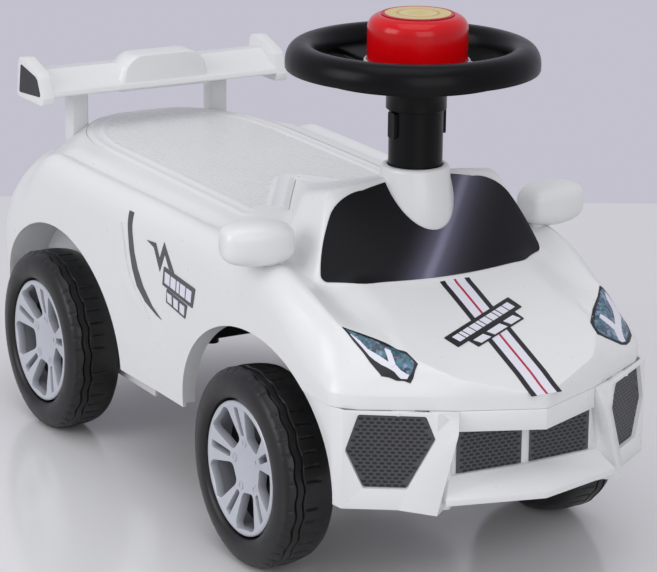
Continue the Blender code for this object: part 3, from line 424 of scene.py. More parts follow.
def half_at(y, z):
    """Half the width at a height: low down, the corners of the tail are squarer."""
    if y < tail_round_y:
        return half_width(y)
    power = 2.2 + 2.8 * ramp(0.235, 0.130, z)
    t = min((y - tail_round_y) / (tail_y + 0.001 - tail_round_y), 1.0)
    return (body_half_width + 0.003) * (1 - t**power) ** (1 / power)


def deck(y):
    """Height of the hood, the shoulder and the tail at y."""
    z = lower(nose_height + hood_slope * (y - nose_y), deck_height, 0.014)
    if y > tail_drop_y:
        t = min((y - tail_drop_y) / (tail_y + 0.001 - tail_drop_y), 1.0)
        z = ground_clearance + (z - ground_clearance) * (1 - t**2.5) ** 0.4
    return z


def flat_half(y):
    """Half the width of the flat top: it narrows to the nose and the tail."""
    w = half_width(y)
    edge = 0.110 + (y + 0.088) * 0.77
    full = w - 0.014 - 0.007 * (1 - ramp(-0.09, 0.06, y))
    full = min(full, w * (1 - 0.26 * ramp(0.36, 0.46, y)))
    return min(edge, 0.9 * w) if y < corner_y else min(edge if y < 0 else full, full)


def screen_y(x):
    """Where the windscreen starts on the hood."""
    return screen_base_y + (screen_side_y - screen_base_y) * (x / cowl_base_half) ** 2


def screen_rise(x):
    return screen_slope + 0.17 * min((x / 0.066) ** 2, 1.8)


def foot_half(y):
    """Half the cowl's width at the height of the seat."""
    return min(cowl_half, cowl_taper * (cowl_tail_y - y))


def cowl(x, y):
    """The hump that carries the windscreen and the column."""
    x = abs(x)
    front = deck_height - 0.014 + screen_rise(x) * (y - screen_y(x))
    fall = (roof_front - seat_level) / (cowl_tail_y - roof_y)
    crown = roof_crown * (1 - (x / 0.066) ** 2) * (1 - ramp(0.0, 0.15, y))
    roof = roof_front + crown - fall * (y - roof_y)
    side = seat_level + cowl_side_slope * (foot_half(y) - x)
    return lower(lower(front, roof, 0.007), side, 0.009)


def hump(x, middle, width):
    """A smooth bump of height 1."""
    return math.exp(-(((x - middle) / width) ** 2))


def tail_fall(x, y):
    """How far the surface round the seat's rear end falls away from it."""
    along = max(y - seat_round_y, 0.0) / (seat_rear_y - seat_round_y)
    out = ((abs(x) / seat_half) ** 2.35 + along**2.35) ** (1 / 2.35) - 1
    return 0.070 * max(out, 0.0) * ramp(0.36, 0.43, y)


def seat_height(x, y):
    """Height of the deck and the seat, without the cowl."""
    x = abs(x)
    groove_x = half_width(y) - 0.024
    along = ramp(0.06, 0.12, y) * (1 - ramp(0.36, 0.41, y))
    crown = 0.006 * max(0.0, 1 - (x / max(groove_x, 0.01)) ** 4) * ramp(0.06, 0.13, y)
    crown *= 1 - ramp(0.45, 0.475, y)
    groove = 0.0032 * along * hump(x, groove_x, 0.0045)
    valley = 0.008 * ramp(-0.11, -0.05, y) * (1 - ramp(-0.01, 0.04, y)) * hump(x, 0.093, 0.016)
    return deck(y) + crown - groove - valley - tail_fall(x, y)


def hood_lines(x, y):
    """The hood's fine shapes: a raised middle panel whose edges run from the screen to the nose."""
    x = abs(x)
    line = 0.057 + (0.083 - 0.057) * ramp(-0.160, -0.140, y) - 0.010 * ramp(-0.13, -0.05, y)
    fade = ramp(-0.178, -0.160, y) * (1 - ramp(-0.075, -0.045, y))
    step = 0.0011 * fade * (1 - ramp(line - 0.0035, line + 0.0035, x))
    crease = 0.0009 * fade * hump(x, line, 0.0022)
    return step - crease


def top_height(x, y):
    """Height of the upper surface at (x, y)."""
    z = seat_height(x, y) + (hood_lines(x, y) if y < -0.03 else 0.0)
    return higher(z, cowl(x, y), 0.006) if y < cowl_tail_y + 0.02 else z


print("hood at the screen:", round(top_height(0, screen_base_y) * 1000, 1), "mm high")

# %% Cross-sections
across_steps = (4, 4, 4, 4, 5, 5, 4, 3, 2, 5)  # how finely each stretch across the top is divided
tops = sum(across_steps) + 1  # points on the top, before the shoulder begins


def across_points(y):
    """Places across the top, from the middle out, that follow the cowl's edges and the seat's rim."""
    xt = flat_half(y)
    scale = min(1.0, xt / 0.112)
    tip = ramp(cowl_tail_y, cowl_tail_y + 0.05, y)
    foot = max(foot_half(y), 0.002) * (1 - tip) + 0.060 * tip
    roof = roof_front - (roof_front - seat_level) * (y - roof_y) / (cowl_tail_y - roof_y)
    if y < roof_y:
        foot += (seat_level - deck(max(y, screen_base_y))) / cowl_side_slope
        roof = deck_height - 0.014 + screen_rise(0.08) * (y - screen_y(0.08))
    reach = foot_half(y) - (roof - seat_level) / cowl_side_slope
    edge = min(max(reach, 0.4 * foot), 0.9 * foot)
    rim = max(seat_rim, foot + 0.004)
    keys = [edge * k / 4 for k in range(5)]
    keys += [(edge + foot) / 2, foot, (foot + rim) / 2, rim, rim + 0.0035]
    coarse = [k * scale for k in keys] + [xt]
    fine = [a + (b - a) * k / n for a, b, n in zip(coarse, coarse[1:], across_steps) for k in range(n)]
    return fine + [xt]


def shoulder(y):
    """The rounded shoulder at y: where it starts and ends across and in height, and how square it is."""
    w, xt = half_width(y), flat_half(y)
    zt = top_height(xt, y)
    front = 1 - ramp(-0.12, -0.02, y)
    drop = 0.026 + 0.030 * ramp(0.36, 0.47, y)
    if y < 0:
        drop = (zt - (parting_height + 0.0095)) * front + drop * (1 - front)
    return xt, w, zt, zt - min(drop, 0.6 * (zt - ground_clearance)), 2 - 0.75 * front


def shell_height(x, y):
    """Height of the outer skin at (x, y), over the shoulder too."""
    xt, w, zt, zw, power = shoulder(y)
    if abs(x) <= xt:
        return top_height(x, y)
    share = min((abs(x) - xt) / (w - xt), 1.0)
    return zw + (zt - zw) * (1 - share**power) ** (1 / power)


def section(y, around=10, down=12):
    """Right half of the cross-section at y, from the middle of the top to the sill: (x, z) points."""
    xt, w, zt, zw, power = shoulder(y)
    points = [(x, top_height(x, y)) for x in across_points(y)]
    for i in range(1, around + 1):
        a = math.pi / 2 * i / around
        z = zw + (zt - zw) * max(math.cos(a), 0.0) ** (2 / power)
        points.append((xt + (half_at(y, z) - xt) * math.sin(a) ** (2 / power), z))
    for i in range(1, down + 1):
        t = i / down
        z = zw + (ground_clearance - zw) * t
        points.append((half_at(y, z) - 0.005 * t * t * min(1.0, w / 0.05), z))
    return points


def curved_row(y):
    """A row of points over the right half. Near the windscreen it bends with its lower edge."""
    strength = ramp(-0.100, screen_base_y, y) * (1 - ramp(screen_base_y, 0.004, y))
    bend = strength * (screen_side_y - screen_base_y)
    points = []
    for i, (x, z) in enumerate(section(y + bend)):
        if i < tops:
            y_here = y + bend * min(1.0, (x / cowl_base_half) ** 2)
            points.append((x, y_here, top_height(x, y_here)))
        else:
            points.append((x, y + bend, z))
    return points


def side_x(y, z):
    """Half-width of the body's side at (y, z)."""
    half = section(y)
    xs, zs = zip(*half[tops - 1:][::-1])
    return float(np.interp(z, zs, xs))


print("points in a row:", len(curved_row(0.0)), "and the side at the door:", round(side_x(0.15, 0.15), 4))

# %% Rows along the car
def station_list():
    """Places of the rows, close together where the shape turns."""
    knots = [nose_y + 0.0006, -0.180, beak_y, -0.136, cheek_y, corner_y, -0.070, screen_base_y, -0.008, 0.010]
    knots += [0.062, 0.0915, 0.0965, 0.120, cowl_tail_y, 0.200, 0.330, tail_round_y, 0.430, 0.460, 0.478,
              tail_y]
    steps = [0.0012, 0.003, 0.004, 0.003, 0.003, 0.005, 0.004, 0.0025, 0.003, 0.005]
    steps += [0.006, 0.0025, 0.006, 0.006, 0.009, 0.012, 0.007, 0.005, 0.003, 0.002, 0.0009]
    places = []
    for a, b, step in zip(knots, knots[1:], steps):
        count = max(1, round((b - a) / step))
        places += [a + (b - a) * k / count for k in range(count)]
    return places + [tail_y]


def outer_volume(up=0.0):
    """The body's closed outer volume. Its bottom and the two ends carry the second finish."""
    rings = []
    for y in station_list():
        half = curved_row(y)
        ring = [(-x, yy, z + up) for x, yy, z in reversed(half[1:])] + [(x, yy, z + up) for x, yy, z in half]
        rings.append(ring)
    bm = skin(rings)
    for face in bm.faces:
        if face.calc_center_median().z < ground_clearance + up + 0.0005:
            face.material_index = 1
    return bm


def marked(bm):
    """Gives every face of a cutting shape the second finish, so its cut faces can be found again."""
    for face in bm.faces:
        face.material_index = 1
    return bm


print("rows along the car:", len(station_list()))

# %% [markdown]
# ## Body shell
# The body is a thin wall, open below, with two wheel arches each side and a large hole under the seat.
# A closed volume is cut by shapes whose faces carry a marker finish. The marked faces are then deleted,
# and what stays is the outer skin with exact holes. Solidify gives it the real wall, and a small bevel
# gives each rim the soft edge of a moulding.

# %% Cutting shapes
arch_front_y, arch_front_half = 0.007, 0.119
arch_rear_y, arch_rear_half = 0.343, 0.110
arch_height, arch_base = 0.090, 0.085


def arch_outline(middle, half, grow=0.0, below=0.1, steps=48):
    points = []
    for i in range(steps + 1):
        a = math.pi * i / steps
        points.append((middle + (half + grow) * math.cos(a), arch_base + (arch_height + grow) * math.sin(a)))
    return points + [(middle - half - grow, arch_base - below), (middle + half + grow, arch_base - below)]


def round_end(half, reach, steps):
    """The right half of a long round end behind seat_round_y."""
    points = []
    for i in range(steps // 2 + 1):
        a = math.pi * i / steps
        x = half * math.cos(a) ** 0.85 if i < steps // 2 else 0.0
        points.append((x, seat_round_y + reach * math.sin(a) ** 0.85))
    return points


lid_corner = 0.012


def front_corner(half, front):
    """The quarter circle from the straight front to the straight side."""
    turns = [math.pi / 2 * (1 - i / 6) for i in range(7)]
    return [(half - lid_corner + lid_corner * math.cos(a), front + lid_corner - lid_corner * math.sin(a))
            for a in turns]


def seat_outline(grow, steps=64):
    """The seat lid from above: a notch for the cowl in front, straight sides, a long round rear."""
    half = seat_half + grow
    front = seat_front_y - grow
    notch = 0.0025 - grow * math.hypot(1.0, cowl_taper)
    edge = cowl_taper * (cowl_tail_y - front) + notch
    points = [(edge, front)] + front_corner(half, front)
    points += round_end(half, seat_rear_y + grow - seat_round_y, steps)
    left = [(-x, y) for x, y in reversed(points[:-1])]
    return points + left + [(0.0, cowl_tail_y + notch / cowl_taper)]


hinge_y, hinge_half, hinge_radius = 0.459, 0.022, 0.0022
hinge_z = seat_height(0, hinge_y) + 0.0006
stem_x, stem_y = 0.114, 0.0
post_inner_x, post_width, post_front_y, post_depth, post_bottom = 0.059, 0.0155, 0.4345, 0.0165, 0.205
collar_centre = (0, steer_y, 0)

cutters = [
    block((-0.2, nose_y - 0.05, 0.0), (0.2, arch_front_y - 0.06, parting_height + 0.0003)),
    prism(arch_outline(arch_front_y, arch_front_half), "X", -0.2, 0.2),
    prism(arch_outline(arch_rear_y, arch_rear_half), "X", -0.2, 0.2),
    prism(seat_outline(0.0006), "Z", 0.222, 0.258),
    block((-hinge_half - 0.0005, 0.44, 0.21), (hinge_half + 0.0005, hinge_y + 0.0027, 0.26)),
    disc(0.0226, 0.18, 0.31, collar_centre, steps=64),
]
for side in (-1, 1):
    near, far = span(side, post_inner_x - 0.0003, post_inner_x + post_width + 0.0003)
    cutters.append(block((near, post_front_y - 0.0003, 0.185),
                         (far, post_front_y + post_depth + 0.0003, 0.26)))
print("cutting shapes:", len(cutters))

# %% The shell
marker = bpy.data.materials.new("marker")
shell = make_object("body_shell_moulding", outer_volume(), [white_shell, marker])
combine(shell, "DIFFERENCE", [marked(bm) for bm in cutters])
bm = bmesh.new()
bm.from_mesh(shell.data)
bmesh.ops.delete(bm, geom=[f for f in bm.faces if f.material_index == 1], context="FACES")
bmesh.ops.remove_doubles(bm, verts=bm.verts, dist=0.00002)
bmesh.ops.delete(bm, geom=[v for v in bm.verts if not v.link_faces], context="VERTS")
bm.to_mesh(shell.data)
bm.free()
while len(shell.data.materials) > 1:
    shell.data.materials.pop()
solid = shell.modifiers.new("wall", "SOLIDIFY")
solid.thickness, solid.offset, solid.use_even_offset = wall, -1.0, False
bake(shell)
print("faces with their wall:", len(shell.data.polygons))

# %% [markdown]
# ### Inside the body
# Returns along the arches, the wells behind the rear wheels, the ledge that carries the seat lid, the tube
# that guides the steering column, and the collar on the cowl. They are closed shapes of their own that
# overlap the shell a little, as the ribs of a moulding run into its wall.

# %% Returns, wells and ledge
def arch_band(side, middle, half, inner_x, first, last, steps=40):
    rings = []
    for i in range(steps + 1):
        a = math.radians(first + (last - first) * i / steps)
        ring = []
        for x_place, out in ((0, 0), (1, 0), (1, wall), (0, wall)):
            y = middle + (half + out) * math.cos(a)
            z = arch_base + (arch_height + out) * math.sin(a)
            ring.append((side * (side_x(y, z) - wall / 2 if x_place else inner_x), y, z))
        rings.append(ring)
    return skin(rings)


inner_shapes = []
for side in (-1, 1):
    inner_shapes.append(arch_band(side, arch_front_y, arch_front_half, body_half_width - 0.015, 0, 128))
    inner_shapes.append(arch_band(side, arch_rear_y, arch_rear_half, 0.0965, 0, 180))
    low, high = span(side, 0.0975, 0.0950)
    inner_shapes.append(prism(arch_outline(arch_rear_y, arch_rear_half, wall * 0.5, 0.030), "X", low, high))
ledge = make_object("ledge", prism(seat_outline(0.006), "Z", 0.2235, 0.2262), [white_shell])
combine(ledge, "DIFFERENCE", [prism(seat_outline(-0.012), "Z", 0.21, 0.24)])
screw_x, screw_y = 0.090, -0.100
for side in (-1, 1):
    inner_shapes.append(disc(0.006, parting_height + 0.0003, 0.1935, (side * screw_x, screw_y, 0), steps=24))
    near, far = span(side, 0.013, hinge_half + 0.004)
    inner_shapes.append(disc(hinge_radius, near, far, (0, hinge_y, hinge_z), "X", 24))
print("inner shapes:", len(inner_shapes))

# %% Collar and steering tube
collar_top = 0.2896
collar_reach = 0.11  # the collar runs out forward into a tongue on the windscreen
collar_profile = [(0.0105, 0.165), (0.0215, 0.165), (0.0278, 0.236), (0.0278, 0.262), (0.0262, 0.277)]
for k in range(7):
    a = math.pi / 2 * k / 6
    collar_profile.append((0.0255 - 0.003 * (1 - math.cos(a)), collar_top - 0.003 * (1 - math.sin(a))))
collar_profile += [(0.0210, collar_top), (0.0205, collar_top - 0.0006), (0.0205, 0.2357), (0.0108, 0.2357)]
collar = turned(collar_profile, collar_centre, "Z", 96)
for v in collar.verts:
    if v.co.y < steer_y and math.hypot(v.co.x, v.co.y - steer_y) > 0.022:
        v.co.y = steer_y + (v.co.y - steer_y) * (1 + collar_reach * ramp(0.284, 0.268, v.co.z))

add_shapes(shell, [shape_of(ledge), collar] + inner_shapes)
finish_piece(shell, "chassis", ["body_shell"], smooth=40)
print("collar reaches", collar_top, "m")

# %% [markdown]
# ## Seat lid
# The seat is a lid over a storage tub. Its top has two raised rings that follow its outline, and inside them
# a fine grid of low pads that stops a child from slipping. The top is a fine height field: the rings are a
# function of the distance from the outline. The pads are Geometry Nodes instances on a grid of points.

# %% Distance from the seat's edge
edge_line = np.array(seat_outline(0.0, 96))
edge_next = np.roll(edge_line, -1, axis=0)


def edge_distance(x, y):
    """How far inside the seat's outline a point lies; negative outside."""
    p = np.array((x, y))
    along = edge_next - edge_line
    t = np.clip(((p - edge_line) * along).sum(1) / np.maximum((along**2).sum(1), 1e-12), 0, 1)
    distance = float(np.sqrt(((edge_line + along * t[:, None] - p) ** 2).sum(1)).min())
    crosses = (edge_line[:, 1] > y) != (edge_next[:, 1] > y)
    rise = np.where(np.abs(along[:, 1]) < 1e-12, 1e-12, along[:, 1])
    hits = edge_line[:, 0] + along[:, 0] * (y - edge_line[:, 1]) / rise > x
    return distance if (crosses & hits).sum() % 2 else -distance


ring_height, ring_width = 0.0010, 0.0016


def rings_height(d):
    """Two raised rings and a slightly sunk field inside them."""
    rings = ring_height * hump(d, 0.0045, ring_width) + ring_height * hump(d, 0.0140, ring_width)
    return rings - 0.0005 * ramp(0.0005, 0.003, 0.003 - d) - 0.0004 * ramp(0.0145, 0.0175, d)


xs = np.concatenate([[-0.0895], np.linspace(-0.0885, 0.0885, 119), [0.0895]])
ys = np.linspace(0.1000, 0.4620, 242)
bm = bmesh.new()
grid = [[bm.verts.new((x, y, seat_height(x, y) + rings_height(edge_distance(x, y)))) for x in xs] for y in ys]
under = [[bm.verts.new((x, y, 0.20)) for x in (xs[0], xs[-1])] for y in (ys[0], ys[-1])]
for a, b in zip(grid, grid[1:]):
    for i in range(len(xs) - 1):
        bm.faces.new((a[i], a[i + 1], b[i + 1], b[i]))
bm.faces.new([under[0][0], under[0][1]] + grid[0][::-1])
bm.faces.new([under[1][1], under[1][0]] + grid[-1])
bm.faces.new([under[1][0], under[0][0]] + [row[0] for row in grid])
bm.faces.new([under[0][1], under[1][1]] + [row[-1] for row in grid[::-1]])
bm.faces.new([under[0][0], under[1][0], under[1][1], under[0][1]])
bmesh.ops.recalc_face_normals(bm, faces=bm.faces)
lid = make_object("seat_lid_moulding", bm, [white_shell])
combine(lid, "INTERSECT", [prism(seat_outline(0.0), "Z", 0.2285, 0.26)])
knuckle = disc(hinge_radius, -0.0125, 0.0125, (0, hinge_y, hinge_z), "X", 32)
tongue = block((-0.0119, seat_rear_y - 0.004, 0.2287), (0.0119, hinge_y, 0.2315))
add_shapes(lid, [knuckle, tongue])
finish_piece(lid, "lid", ["seat_lid"], smooth=50)

# %% [markdown]
# ### Anti-slip pads by Geometry Nodes
# The seat's low square pads and the printed net of the grilles are the same job: one small shape on every
# point of a set. A Geometry Nodes tree does it. Its inputs are the shape's three sizes and how it is turned.
# It ends in Realize Instances and Set Material, so the result is plain faces with a finish.

# %% A tree that sets a small shape on every point
def point_tree(name, finish, shape, sizes):
    """A tree that sets a scaled unit shape on each point, and the identifiers of its inputs."""
    tree = bpy.data.node_groups.new(name, "GeometryNodeTree")
    tree.interface.new_socket("Geometry", in_out="INPUT", socket_type="NodeSocketGeometry")
    inputs = {}
    for label, kind in (("Length", "Float"), ("Width", "Float"), ("Thickness", "Float"), ("Turn", "Vector")):
        socket = tree.interface.new_socket(label, in_out="INPUT", socket_type=f"NodeSocket{kind}")
        inputs[label] = socket.identifier
    tree.interface.new_socket("Geometry", in_out="OUTPUT", socket_type="NodeSocketGeometry")
    enter = add_node(tree, "NodeGroupInput")
    unit = add_node(tree, shape, sizes)
    size = add_node(tree, "ShaderNodeCombineXYZ", {}, {
        "X": enter.outputs["Length"], "Y": enter.outputs["Width"], "Z": enter.outputs["Thickness"]})
    placed = add_node(tree, "GeometryNodeInstanceOnPoints", {}, {
        "Points": enter.outputs["Geometry"], "Instance": unit.outputs["Mesh"],
        "Rotation": enter.outputs["Turn"], "Scale": size.outputs[0]})
    real = add_node(tree, "GeometryNodeRealizeInstances", {}, {"Geometry": placed.outputs[0]})
    painted = add_node(tree, "GeometryNodeSetMaterial", {"Material": finish}, {"Geometry": real.outputs[0]})
    add_node(tree, "NodeGroupOutput", {}, {"Geometry": painted.outputs[0]})
    return tree, inputs


def grown(name, points, tree, inputs, values):
    """Runs a tree on loose points and keeps the result as a plain mesh."""
    mesh = bpy.data.meshes.new(name)
    mesh.from_pydata([tuple(p) for p in points], [], [])
    made = bpy.data.objects.new(name, mesh)
    bpy.context.scene.collection.objects.link(made)
    modifier = made.modifiers.new("pattern", "NODES")
    modifier.node_group = tree
    for label, value in values.items():
        modifier[inputs[label]] = value
    bake(made)
    return made


# %% The pads
pad_pitch, pad_size, pad_height, pad_margin = 0.0042, 0.0031, 0.0006, 0.0195
pad_tree, pad_inputs = point_tree("anti_slip_pads", white_shell, "GeometryNodeMeshCube",
                                  {"Size": (1.0, 1.0, 1.0)})
pads = []
for row in range(int(0.36 / pad_pitch)):
    y = 0.104 + row * pad_pitch
    for column in range(-21, 22):
        x = column * pad_pitch
        if edge_distance(x, y) > pad_margin:
            pads.append((x, y, seat_height(x, y) - 0.0004))
pad_sizes = {"Length": pad_size, "Width": pad_size, "Thickness": pad_height}
finish_piece(grown("seat_pads", pads, pad_tree, pad_inputs, pad_sizes), "lid", smooth=20)
print("pads:", len(pads))

# %% [markdown]
# ## Front bumper
# The bumper is a moulding of its own that closes the nose below the hood: a V-shaped beak, two fangs that
# lean outwards, a lower lip, and a shallow six-sided pocket at each side. Straight outlines are swept and
# joined, the pockets are cut, and one small bevel gives every edge the radius of a moulding.

# %% Outlines of the bumper
fang_x, fang_y, fang_inner_x = 0.077, -0.166, 0.0585
lip_y, lip_bottom, lip_top = -0.187, 0.091, 0.1035
grille_y, beak_bottom, bumper_top = -0.155, 0.1385, parting_height
face_outer_x, face_outer_y = 0.1285, -0.122
face_run = (fang_x - 0.004 - face_outer_x, beak_y + 0.002 - face_outer_y)  # along the side intake's face
face_length = math.hypot(*face_run)
pocket_depth = 0.0038


def bumper_line(inset, tail):
    """The bumper's wall from above, right half, from the grille's middle to the arch."""
    return [
        (0.0, grille_y - 0.003 + inset), (fang_inner_x - inset * 0.3, grille_y + inset),
        (fang_inner_x + 0.004, beak_y + 0.0008 + inset * 1.1), (fang_x - 0.004, beak_y + 0.002 + inset * 1.1),
        (face_outer_x - inset, face_outer_y + inset * 0.8),
        (body_half_width - 0.001 - inset, face_outer_y + 0.012),
        (body_half_width - 0.0002 - inset, tail)]


def mirrored(outline):
    """A closed outline from its right half."""
    return outline + [(-x, y) for x, y in reversed(outline) if x > 1e-6]


def along_face(t, depth, side=1):
    """(x, y) on the side intake's face: t from the outer corner to the inner one, depth behind it."""
    dx, dy = face_run
    return (side * (face_outer_x + dx * t + dy / face_length * depth),
            face_outer_y + dy * t - dx / face_length * depth)


# the intake's corners: a share of the face's length from its outer end, and a height
intake_shape = [(0.165, 0.1515), (0.88, 0.1512), (0.985, 0.1345), (0.69, 0.0972), (0.225, 0.0972),
                (0.030, 0.1245)]


def intake_line(grow):
    """The side intake's outline as distances along the face and heights, grown outwards."""
    corners = [(t * face_length, z) for t, z in intake_shape]
    middle = Vector((sum(c[0] for c in corners) / 6, sum(c[1] for c in corners) / 6))
    grown_line = []
    for corner in corners:
        away = Vector(corner) - middle
        grown_line.append(tuple(middle + away * (1 + grow / away.length)))
    return rounded(grown_line, 0.0022, 3)


def intake(side, levels):
    """The side intake's form through several (depth, grow) levels."""
    rings = []
    for depth, grow in levels:
        rings.append([(*along_face(s / face_length, depth, side), z) for s, z in intake_line(grow)])
    return skin(rings)


print("face of the side intake:", round(face_length * 1000, 1), "mm long")

# %% The bumper moulding
tail = arch_front_y - 0.058
outer_line, inner_line = bumper_line(0.0, tail), bumper_line(0.003, tail)
ring = outer_line[::-1] + [(-x, y) for x, y in outer_line[1:]]
ring += [(-x, y) for x, y in inner_line[::-1]] + inner_line[1:]
beak = [(0.0, nose_y), (beak_half, beak_y), (beak_half + 0.003, beak_y + 0.012), (0.0, grille_y + 0.002)]
lip_upper = [(0.0, grille_y - 0.0065), (0.0625, grille_y - 0.003), (0.0625, grille_y + 0.004),
             (0.0, grille_y + 0.004)]
lip_lower = [(0.0, lip_y), (fang_x - 0.006, fang_y - 0.0025), (fang_x - 0.010, grille_y + 0.004),
             (0.0, grille_y + 0.004)]
fang_levels = (
    (bumper_top,
     ((0.0570, -0.148), (0.0570, -0.1585), (0.0573, -0.1606), (0.0745, -0.1575), (0.0745, -0.149))),
    (0.139, ((0.0577, -0.148), (0.0580, -0.158), (0.0612, -0.1670), (0.0765, -0.1562), (0.0765, -0.149))),
    (ground_clearance,
     ((0.0610, -0.148), (0.0640, -0.156), (0.0775, -0.1668), (0.0950, -0.1443), (0.0950, -0.138))))
bumper = make_object("bumper_moulding", prism(ring, "Z", ground_clearance, bumper_top), [white_shell])
lip_levels = ((lip_upper, lip_top + 0.0025), (lip_lower, lip_bottom + 0.0020),
              (lip_lower, lip_bottom - 0.0025))
lip = skin([[(x, y, z) for x, y in mirrored(line)] for line, z in lip_levels])
parts, pockets = [prism(mirrored(beak), "Z", beak_bottom, bumper_top), lip], []
for side in (-1, 1):
    parts.append(skin([[(side * x, y, z) for x, y in line] for z, line in fang_levels]))
    near, far = span(side, screw_x - 0.007, screw_x + 0.007)
    parts.append(block((near, -0.144, bumper_top - 0.003), (far, screw_y + 0.007, bumper_top)))
    parts.append(intake(side, ((0.001, 0.0025), (pocket_depth + 0.0025, 0.0025))))
    pockets.append(intake(side, ((-0.02, 0.0), (pocket_depth, 0.0))))
pockets.append(prism(arch_outline(arch_front_y, arch_front_half), "X", -0.2, 0.2))
pockets.append(block((-0.2, nose_y - 0.02, bumper_top), (0.2, 0.0, 0.3)))
combine(bumper, "UNION", parts)
combine(bumper, "DIFFERENCE", pockets)
soften(bumper, 0.0011, 2, 24)
finish_piece(bumper, "chassis", ["front_bumper"], smooth=50)

# %% [markdown]
# ### Net print
# Grille and intake are not open. Behind the pockets lie panels with a printed net: dark lens-shaped
# holes between lighter threads. Each panel is a thin plate, and the tree that made the pads sets one flat
# eight-sided dot on every point of a staggered grid.

# %% A net of flat dots
def inside(outline, x, y):
    """True where (x, y) lies inside a closed outline."""
    within = False
    for (ax, ay), (bx, by) in zip(outline, outline[1:] + outline[:1]):
        if (ay > y) != (by > y) and x < ax + (bx - ax) * (y - ay) / (by - ay):
            within = not within
    return within


net_tree, net_inputs = point_tree(
    "printed_net", film_black, "GeometryNodeMeshCylinder", {"Vertices": 8, "Radius": 0.5, "Depth": 1.0})
net_sizes = {"Length": 0.0040, "Width": 0.0020, "Thickness": 0.0002}
net_pitch, net_row = 0.0050, 0.0027


def net(name, outline, to_space, turn):
    """The dots of one panel. to_space puts a place on the panel into the car's coordinates."""
    across, up = [p[0] for p in outline], [p[1] for p in outline]
    points = []
    for row in range(int((max(up) - min(up)) / net_row) + 1):
        z = min(up) + 0.0012 + row * net_row
        for column in range(-1, int((max(across) - min(across)) / net_pitch) + 2):
            s = min(across) + (column + 0.5 * (row % 2)) * net_pitch
            corners = ((s - 0.0019, z), (s + 0.0019, z), (s, z - 0.0009), (s, z + 0.0009))
            if all(inside(outline, *corner) for corner in corners):
                points.append(to_space(s, z))
    dots = grown(name, points, net_tree, net_inputs, dict(net_sizes, Turn=turn))
    return finish_piece(dots, "chassis", smooth=10)


print("net tree inputs:", list(net_inputs))

# %% Panels with their nets
film, grille_lean = 0.0006, 0.003
panel_level = pocket_depth - 0.0003 - film
x_in, x_out = 0.0035, fang_inner_x - 0.003
front, low, high = grille_y - 0.0033, lip_top + 0.0030, beak_bottom - 0.001
for side, word in sides:
    shape = intake(side, ((panel_level, -0.0006), (panel_level + film, -0.0006)))
    add_piece(f"intake_sheet_{word}", shape, film_grey, "chassis", [f"intake_panel_{word}"])
    dx, dy = (run / face_length for run in face_run)
    turn = Matrix(((side * dx, 0, side * dy), (dy, 0, -dx), (0, 1, 0))).to_euler()

    def on_face(s, z, side=side):
        return (*along_face(s / face_length, panel_level - 0.00012, side), z)

    net(f"intake_net_{word}", intake_line(-0.0008), on_face, tuple(turn))
    rings = []
    for back in (film + 0.0003, 0.0):
        near, far = ((side * x, front - back + grille_lean * x / fang_inner_x) for x in (x_in, x_out))
        rings.append([(*near, low), (*far, low), (*far, high), (*near, high)])
    add_piece(f"grille_sheet_{word}", skin(rings), film_grey, "chassis", [f"grille_panel_{word}"])
    lean_angle = math.atan2(grille_lean, fang_inner_x) * side

    def on_grille(s, z, side=side):
        return (side * s, front - film - 0.00042 + grille_lean * s / fang_inner_x, z)

    outline = [(x_in + 0.0005, low), (x_out, low), (x_out, high), (x_in + 0.0005, high)]
    net(f"grille_net_{word}", outline, on_grille, (math.pi / 2, 0.0, lean_angle))

# %% [markdown]
# ## Stickers
# Headlights, hood stripes and side stickers are printed films that hug the surface. Each one is an outline
# that is filled with a fine grid, laid on the body by the surface's own formula and lifted by its thickness.
# The printed words of the real stickers are left out. Plain plates with generic blocks keep their look.

# %% Laying a film on a surface
film_root = -0.0002  # how far a film's rim reaches into the surface below it


def film_piece(name, outline, lay, finish, lift, cell=0.003):
    """A film: the outline's inside is cut into cells, laid by lay(a, b, lift), and given a thin rim."""
    bm = bmesh.new()
    bm.faces.new([bm.verts.new((a, b, 0)) for a, b in outline])
    for axis in (0, 1):
        values = [p[axis] for p in outline]
        for k in range(1, int((max(values) - min(values)) / cell) + 1):
            direction = Vector((1 - axis, axis, 0))
            geometry = bm.verts[:] + bm.edges[:] + bm.faces[:]
            bmesh.ops.bisect_plane(bm, geom=geometry, plane_co=direction * (min(values) + k * cell),
                                   plane_no=direction, dist=1e-7)
    flat = {v: (v.co.x, v.co.y) for v in bm.verts}
    extruded = bmesh.ops.extrude_face_region(bm, geom=bm.faces[:])
    for v in (v for v in extruded["geom"] if isinstance(v, bmesh.types.BMVert)):
        v.co = lay(v.co.x, v.co.y, lift)
    for v, (a, b) in flat.items():
        v.co = lay(a, b, film_root)
    bmesh.ops.recalc_face_normals(bm, faces=bm.faces)
    return add_piece(name, bm, finish, "chassis", smooth=60)


def above(height, x, y, lift):
    """A place on a height field, moved out along its normal."""
    step = 0.0005
    across = (height(x + step, y) - height(x - step, y)) / (2 * step)
    along = (height(x, y + step) - height(x, y - step)) / (2 * step)
    return Vector((x, y, height(x, y))) + Vector((-across, -along, 1)).normalized() * lift


def on_top(x, y, lift):
    """A place above the hood or the cowl."""
    return above(top_height, x, y, lift)


def on_shell(x, y, lift):
    """A place above the outer skin, over the shoulder too."""
    return above(shell_height, x, y, lift)


def on_side(y, z, lift):
    """A place on the car's right side, moved out by lift."""
    return Vector((-side_x(y, z) - lift, y, z))


print("films ready")
